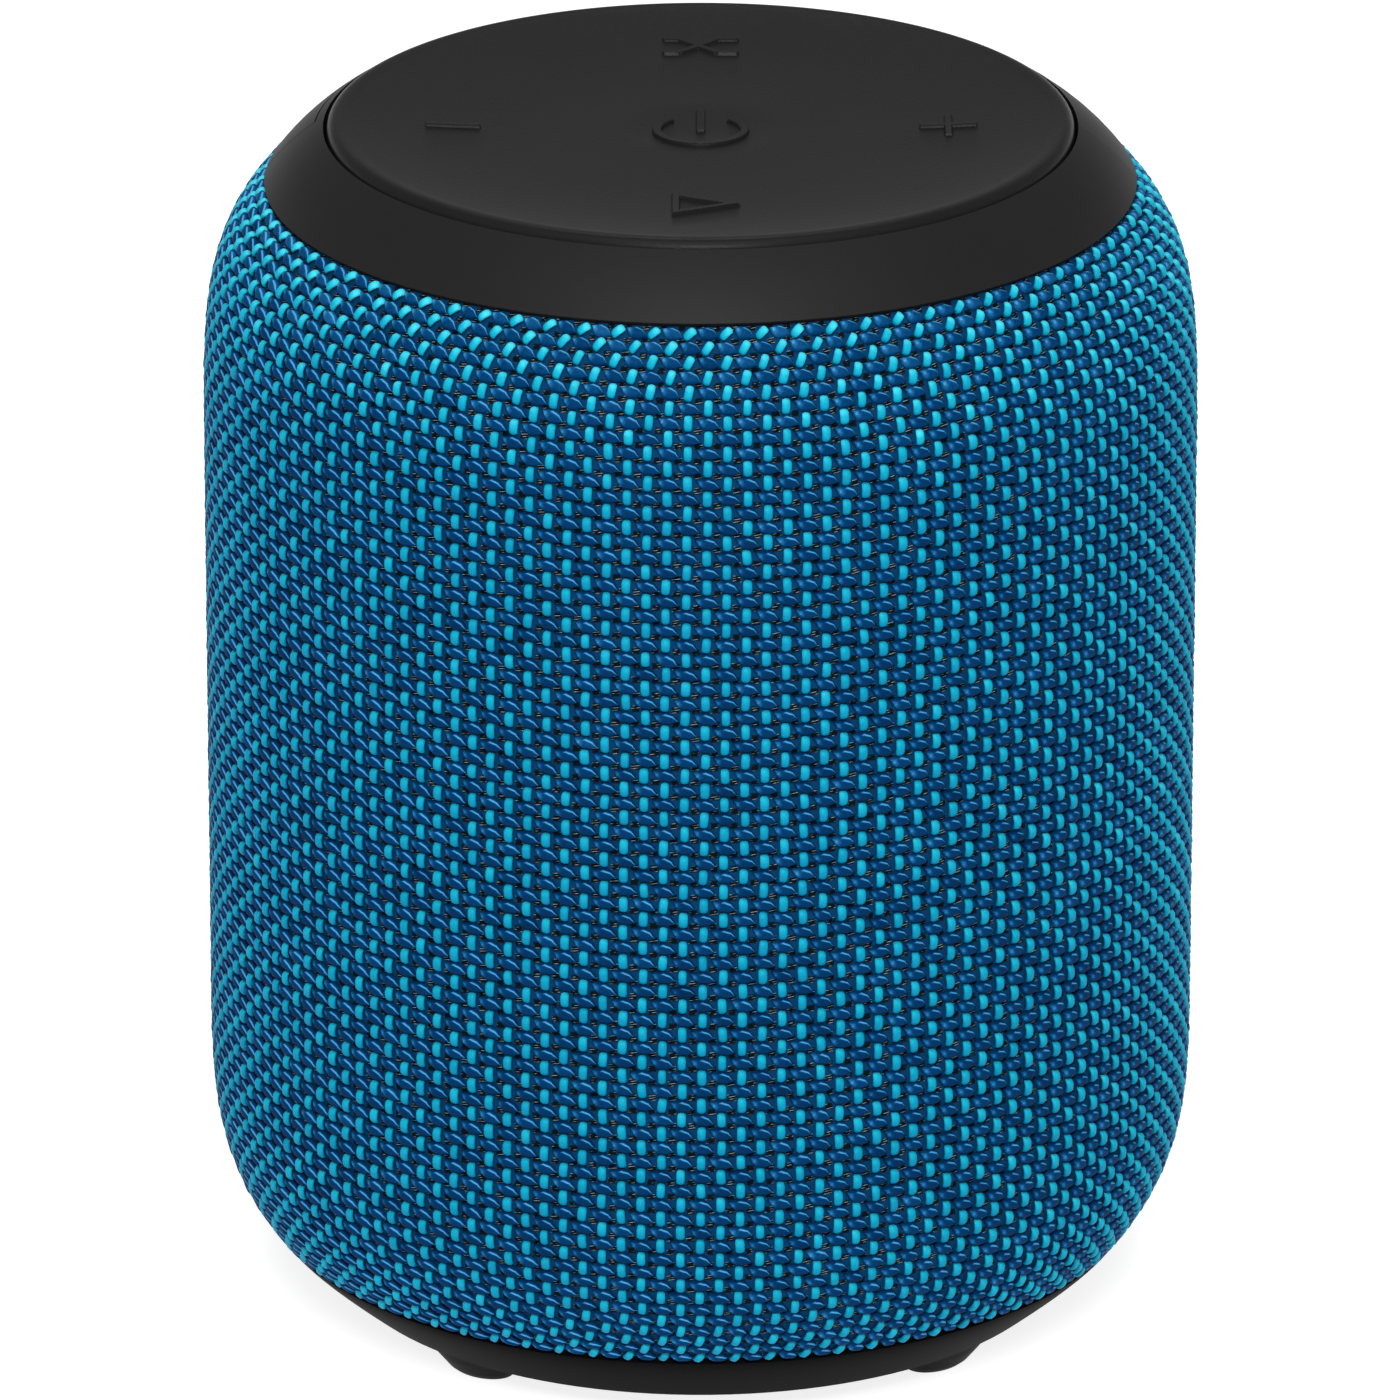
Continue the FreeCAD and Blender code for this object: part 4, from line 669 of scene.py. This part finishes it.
OUTER_KEYS = {  # key name: (middle, symbol, body)
    "play": ((0.0, -KEY_PITCH_R), mark_play, "play_key"),
    "volume_down": ((-KEY_PITCH_R, 0.0), mark_minus, "volume_down_key"),
    "volume_up": ((KEY_PITCH_R, 0.0), mark_plus, "volume_up_key"),
    "pairing": ((0.0, KEY_PITCH_R), mark_pairing, "pairing_key"),
}
for key, (centre, mark, body) in OUTER_KEYS.items():
    def height(x, y, mark=mark):
        return dish(x, y) + MARK_HEIGHT * rise(mark(x, y))
    top = key_top(centre, KEY_R, mark, KEY_SEGMENTS, height)
    verts, faces, normals = join([top] + key_body(centre, KEY_R, KEY_SEGMENTS))
    piece = make_object("keypad_" + key, verts, faces, SILICONE, normals=normals)
    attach(piece, body)
    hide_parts("key_" + key)


POWER_POINTS_R, POWER_LOOP_R = 4.8, 5.2    # reach of the power symbol's points, and the loop round them
POWER_SKIRT = 0.12         # how far its mesh goes out past its edge
FLAT_SHARE = 0.2           # share of the points that is kept on its flat top


def power_key():
    """The shallow well, whose skin is left where it is, and the symbol on it, which rides on the power key."""
    centre = (0.0, 0.0)
    inner = lattice(WELL_R - 0.2, centre, 0.3)
    xy, tris = triangulate([circle(WELL_R, KEY_SEGMENTS, centre)], inner, lambda x, y: np.hypot(x, y) < WELL_R)
    top = (np.column_stack([xy, dish(xy[:, 0], xy[:, 1])]), tris, surface_normals(dish, xy))
    verts, faces, normals = join([top] + key_body(centre, WELL_R, KEY_SEGMENTS))
    skin = make_object("keypad_power", verts, faces, SILICONE, normals=normals)
    edge = float(dish(np.array(WELL_R), np.array(0.0))) * MM
    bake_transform(skin)
    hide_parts("key_power")

    def height(x, y):
        share = rise(mark_power(x, y))
        return dish(x, y) + MARK_HEIGHT * share - 0.5 * (1 - share) ** 6
    points = lattice(POWER_POINTS_R, centre, FINE)
    distance = mark_power(points[:, 0], points[:, 1])
    points = points[(distance < SYMBOL_WALL) & ((distance > -WALL_ZONE) | (rng.random(len(points)) < FLAT_SHARE))]
    xy, tris = triangulate([circle(POWER_LOOP_R, 24, centre)], points, lambda x, y: mark_power(x, y) < POWER_SKIRT)
    used, tris = np.unique(tris, return_inverse=True)
    xy, tris = xy[used], tris.reshape(-1, 3)
    verts = np.column_stack([xy, height(xy[:, 0], xy[:, 1])])
    symbol = make_object("keypad_power_symbol", verts, [tris], SILICONE,
                         normals=surface_normals(height, xy))
    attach(symbol, "power_key")


power_key()


RIM_ROLL = [  # radius and height, from the dish over the crest and down the side
    (28.30, 100.512), (28.46, 100.541), (28.62, 100.562), (28.83, 100.588), (CREST_R, CREST_Z),
    (29.24, 100.585), (29.43, 100.528), (29.60, 100.43), (29.74, 100.29), (29.85, 100.11),
    (29.92, 99.93), (PAD_R, 99.75), (PAD_R, 99.2), (PAD_R, PAD_UNDERSIDE)]


def pad():
    """The pad round the keys, with its rolled rim, and the walls of the key openings."""
    holes = [((0.0, 0.0), WELL_R)] + [(centre, KEY_R) for centre, _, _ in OUTER_KEYS.values()]
    loops = [circle(RING_R, SEGMENTS, (0, 0))] + [circle(r, KEY_SEGMENTS, c) for c, r in holes]

    def outside_keys(x, y, margin=0.0):
        clear = np.hypot(x, y) < RING_R - margin
        for (cx, cy), r in holes:
            clear &= np.hypot(x - cx, y - cy) > r + margin
        return clear
    inner = lattice(RING_R, (0, 0), 0.7)
    inner = inner[outside_keys(inner[:, 0], inner[:, 1], 0.25)]
    xy, tris = triangulate(loops, inner, outside_keys)
    parts = [(np.column_stack([xy, dish(xy[:, 0], xy[:, 1])]), tris, surface_normals(dish, xy))]
    profile = [(r, float(dish(np.array(r), 0.0))) for r in (RING_R, 27.3, 27.6, 27.9, 28.14)] + RIM_ROLL
    rim, rim_faces = revolve(profile, SEGMENTS)
    slope = np.gradient(np.array(profile), axis=0)
    slope[0] = (1.0, 4 * DISH_DEPTH / CREST_R * (RING_R / CREST_R) ** 3)
    slope[-2:] = (0.0, -1.0)
    slope /= np.linalg.norm(slope, axis=1, keepdims=True)
    angle = np.arange(SEGMENTS) * 2 * math.pi / SEGMENTS
    out = np.stack([-slope[:, 1:] * np.cos(angle), -slope[:, 1:] * np.sin(angle),
                    np.repeat(slope[:, :1], SEGMENTS, 1)], -1).reshape(-1, 3)
    parts.append((rim, rim_faces[:, ::-1], out))
    for centre, r in holes:
        edge = circle(r, KEY_SEGMENTS, centre)
        top = np.column_stack([edge, dish(edge[:, 0], edge[:, 1])])
        low = np.column_stack([circle(r + 0.05, KEY_SEGMENTS, centre), np.full(KEY_SEGMENTS, PAD_UNDERSIDE)])
        parts.append((np.concatenate([top, low]), grid_faces(2, KEY_SEGMENTS, True), None))
    verts, faces, normals = join(parts)
    piece = make_object("keypad", verts, faces, SILICONE, normals=normals)
    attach(piece, "housing")
    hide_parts("top_pad")


pad()

# ---- floor, light and camera --------------------------------------------------------------------

scene = bpy.context.scene
scene.view_settings.view_transform = "Standard"
scene.view_settings.look = "None"


# These are in metres, as the frame is.
FLOOR_HALF = 6000.0
CAMERA_AIM = Vector((-0.00005, 0.0, 0.05074))
CAMERA_DISTANCE, CAMERA_LENS = 1.2, 380.3
CAMERA_ELEVATION = math.radians(21.04)


def floor():
    """Pale floor, slightly bright of itself, so that it stays white to the horizon."""
    material, tree, principled = new_material("floor_white", Roughness=0.9)
    principled.inputs["Emission Color"].default_value = (1, 1, 1, 1)
    principled.inputs["Emission Strength"].default_value = 0.84
    tint = ramp(tree, noise(tree, 3.0), [(0.3, grey(0.44)), (0.7, grey(0.46))])
    tree.links.new(tint, principled.inputs["Base Color"])
    half = FLOOR_HALF
    corners = [(-half, -half, 0), (half, -half, 0), (half, half, 0), (-half, half, 0)]
    piece = make_object("floor", corners, [np.array([[0, 1, 2, 3]])], material)


def area_light(name, place, aim, size, power):
    """A round soft light. place, aim and size are in metres and power is in watts."""
    light = bpy.data.lights.new(name, "AREA")
    light.shape = "DISK"
    light.size = size
    light.energy = power
    lamp = bpy.data.objects.new(name, light)
    lamp.location = place
    lamp.rotation_euler = (Vector(aim) - Vector(place)).to_track_quat("-Z", "Y").to_euler()
    scene.collection.objects.link(lamp)


def camera():
    """A long lens on the front, looking down at the keypad."""
    data = bpy.data.cameras.new("camera")
    data.sensor_width = 36.0
    data.lens = CAMERA_LENS
    data.clip_end = 50.0
    lens = bpy.data.objects.new("camera", data)
    towards = Vector((0, -math.cos(CAMERA_ELEVATION), math.sin(CAMERA_ELEVATION)))
    lens.location = CAMERA_AIM + CAMERA_DISTANCE * towards
    lens.rotation_euler = (math.pi / 2 - CAMERA_ELEVATION, 0, 0)
    scene.collection.objects.link(lens)
    scene.camera = lens


def world():
    """White at the horizon and dim above it, which keeps the dark keypad dark."""
    sky = bpy.data.worlds.new("studio")
    sky.use_nodes = True
    tree = sky.node_tree
    place = add(tree, "TexCoord").outputs["Generated"]
    up = add(tree, "SeparateXYZ", {0: place}).outputs[2]
    tint = ramp(tree, up, [(0.03, grey(1.0)), (0.09, grey(0.26))])
    tree.links.new(tint, tree.nodes["Background"].inputs["Color"])
    scene.world = sky


floor()
world()
area_light("overhead", place=(0.0, -0.45, 1.15), aim=(0, 0, 0.06), size=0.9, power=5.0)
area_light("front", place=(0.0, -1.25, 0.95), aim=(0, 0, 0.05), size=0.45, power=15.5)
area_light("rear", place=(0.0, 0.9, 1.15), aim=(0, 0, 0.1), size=0.40, power=1.7)
camera()
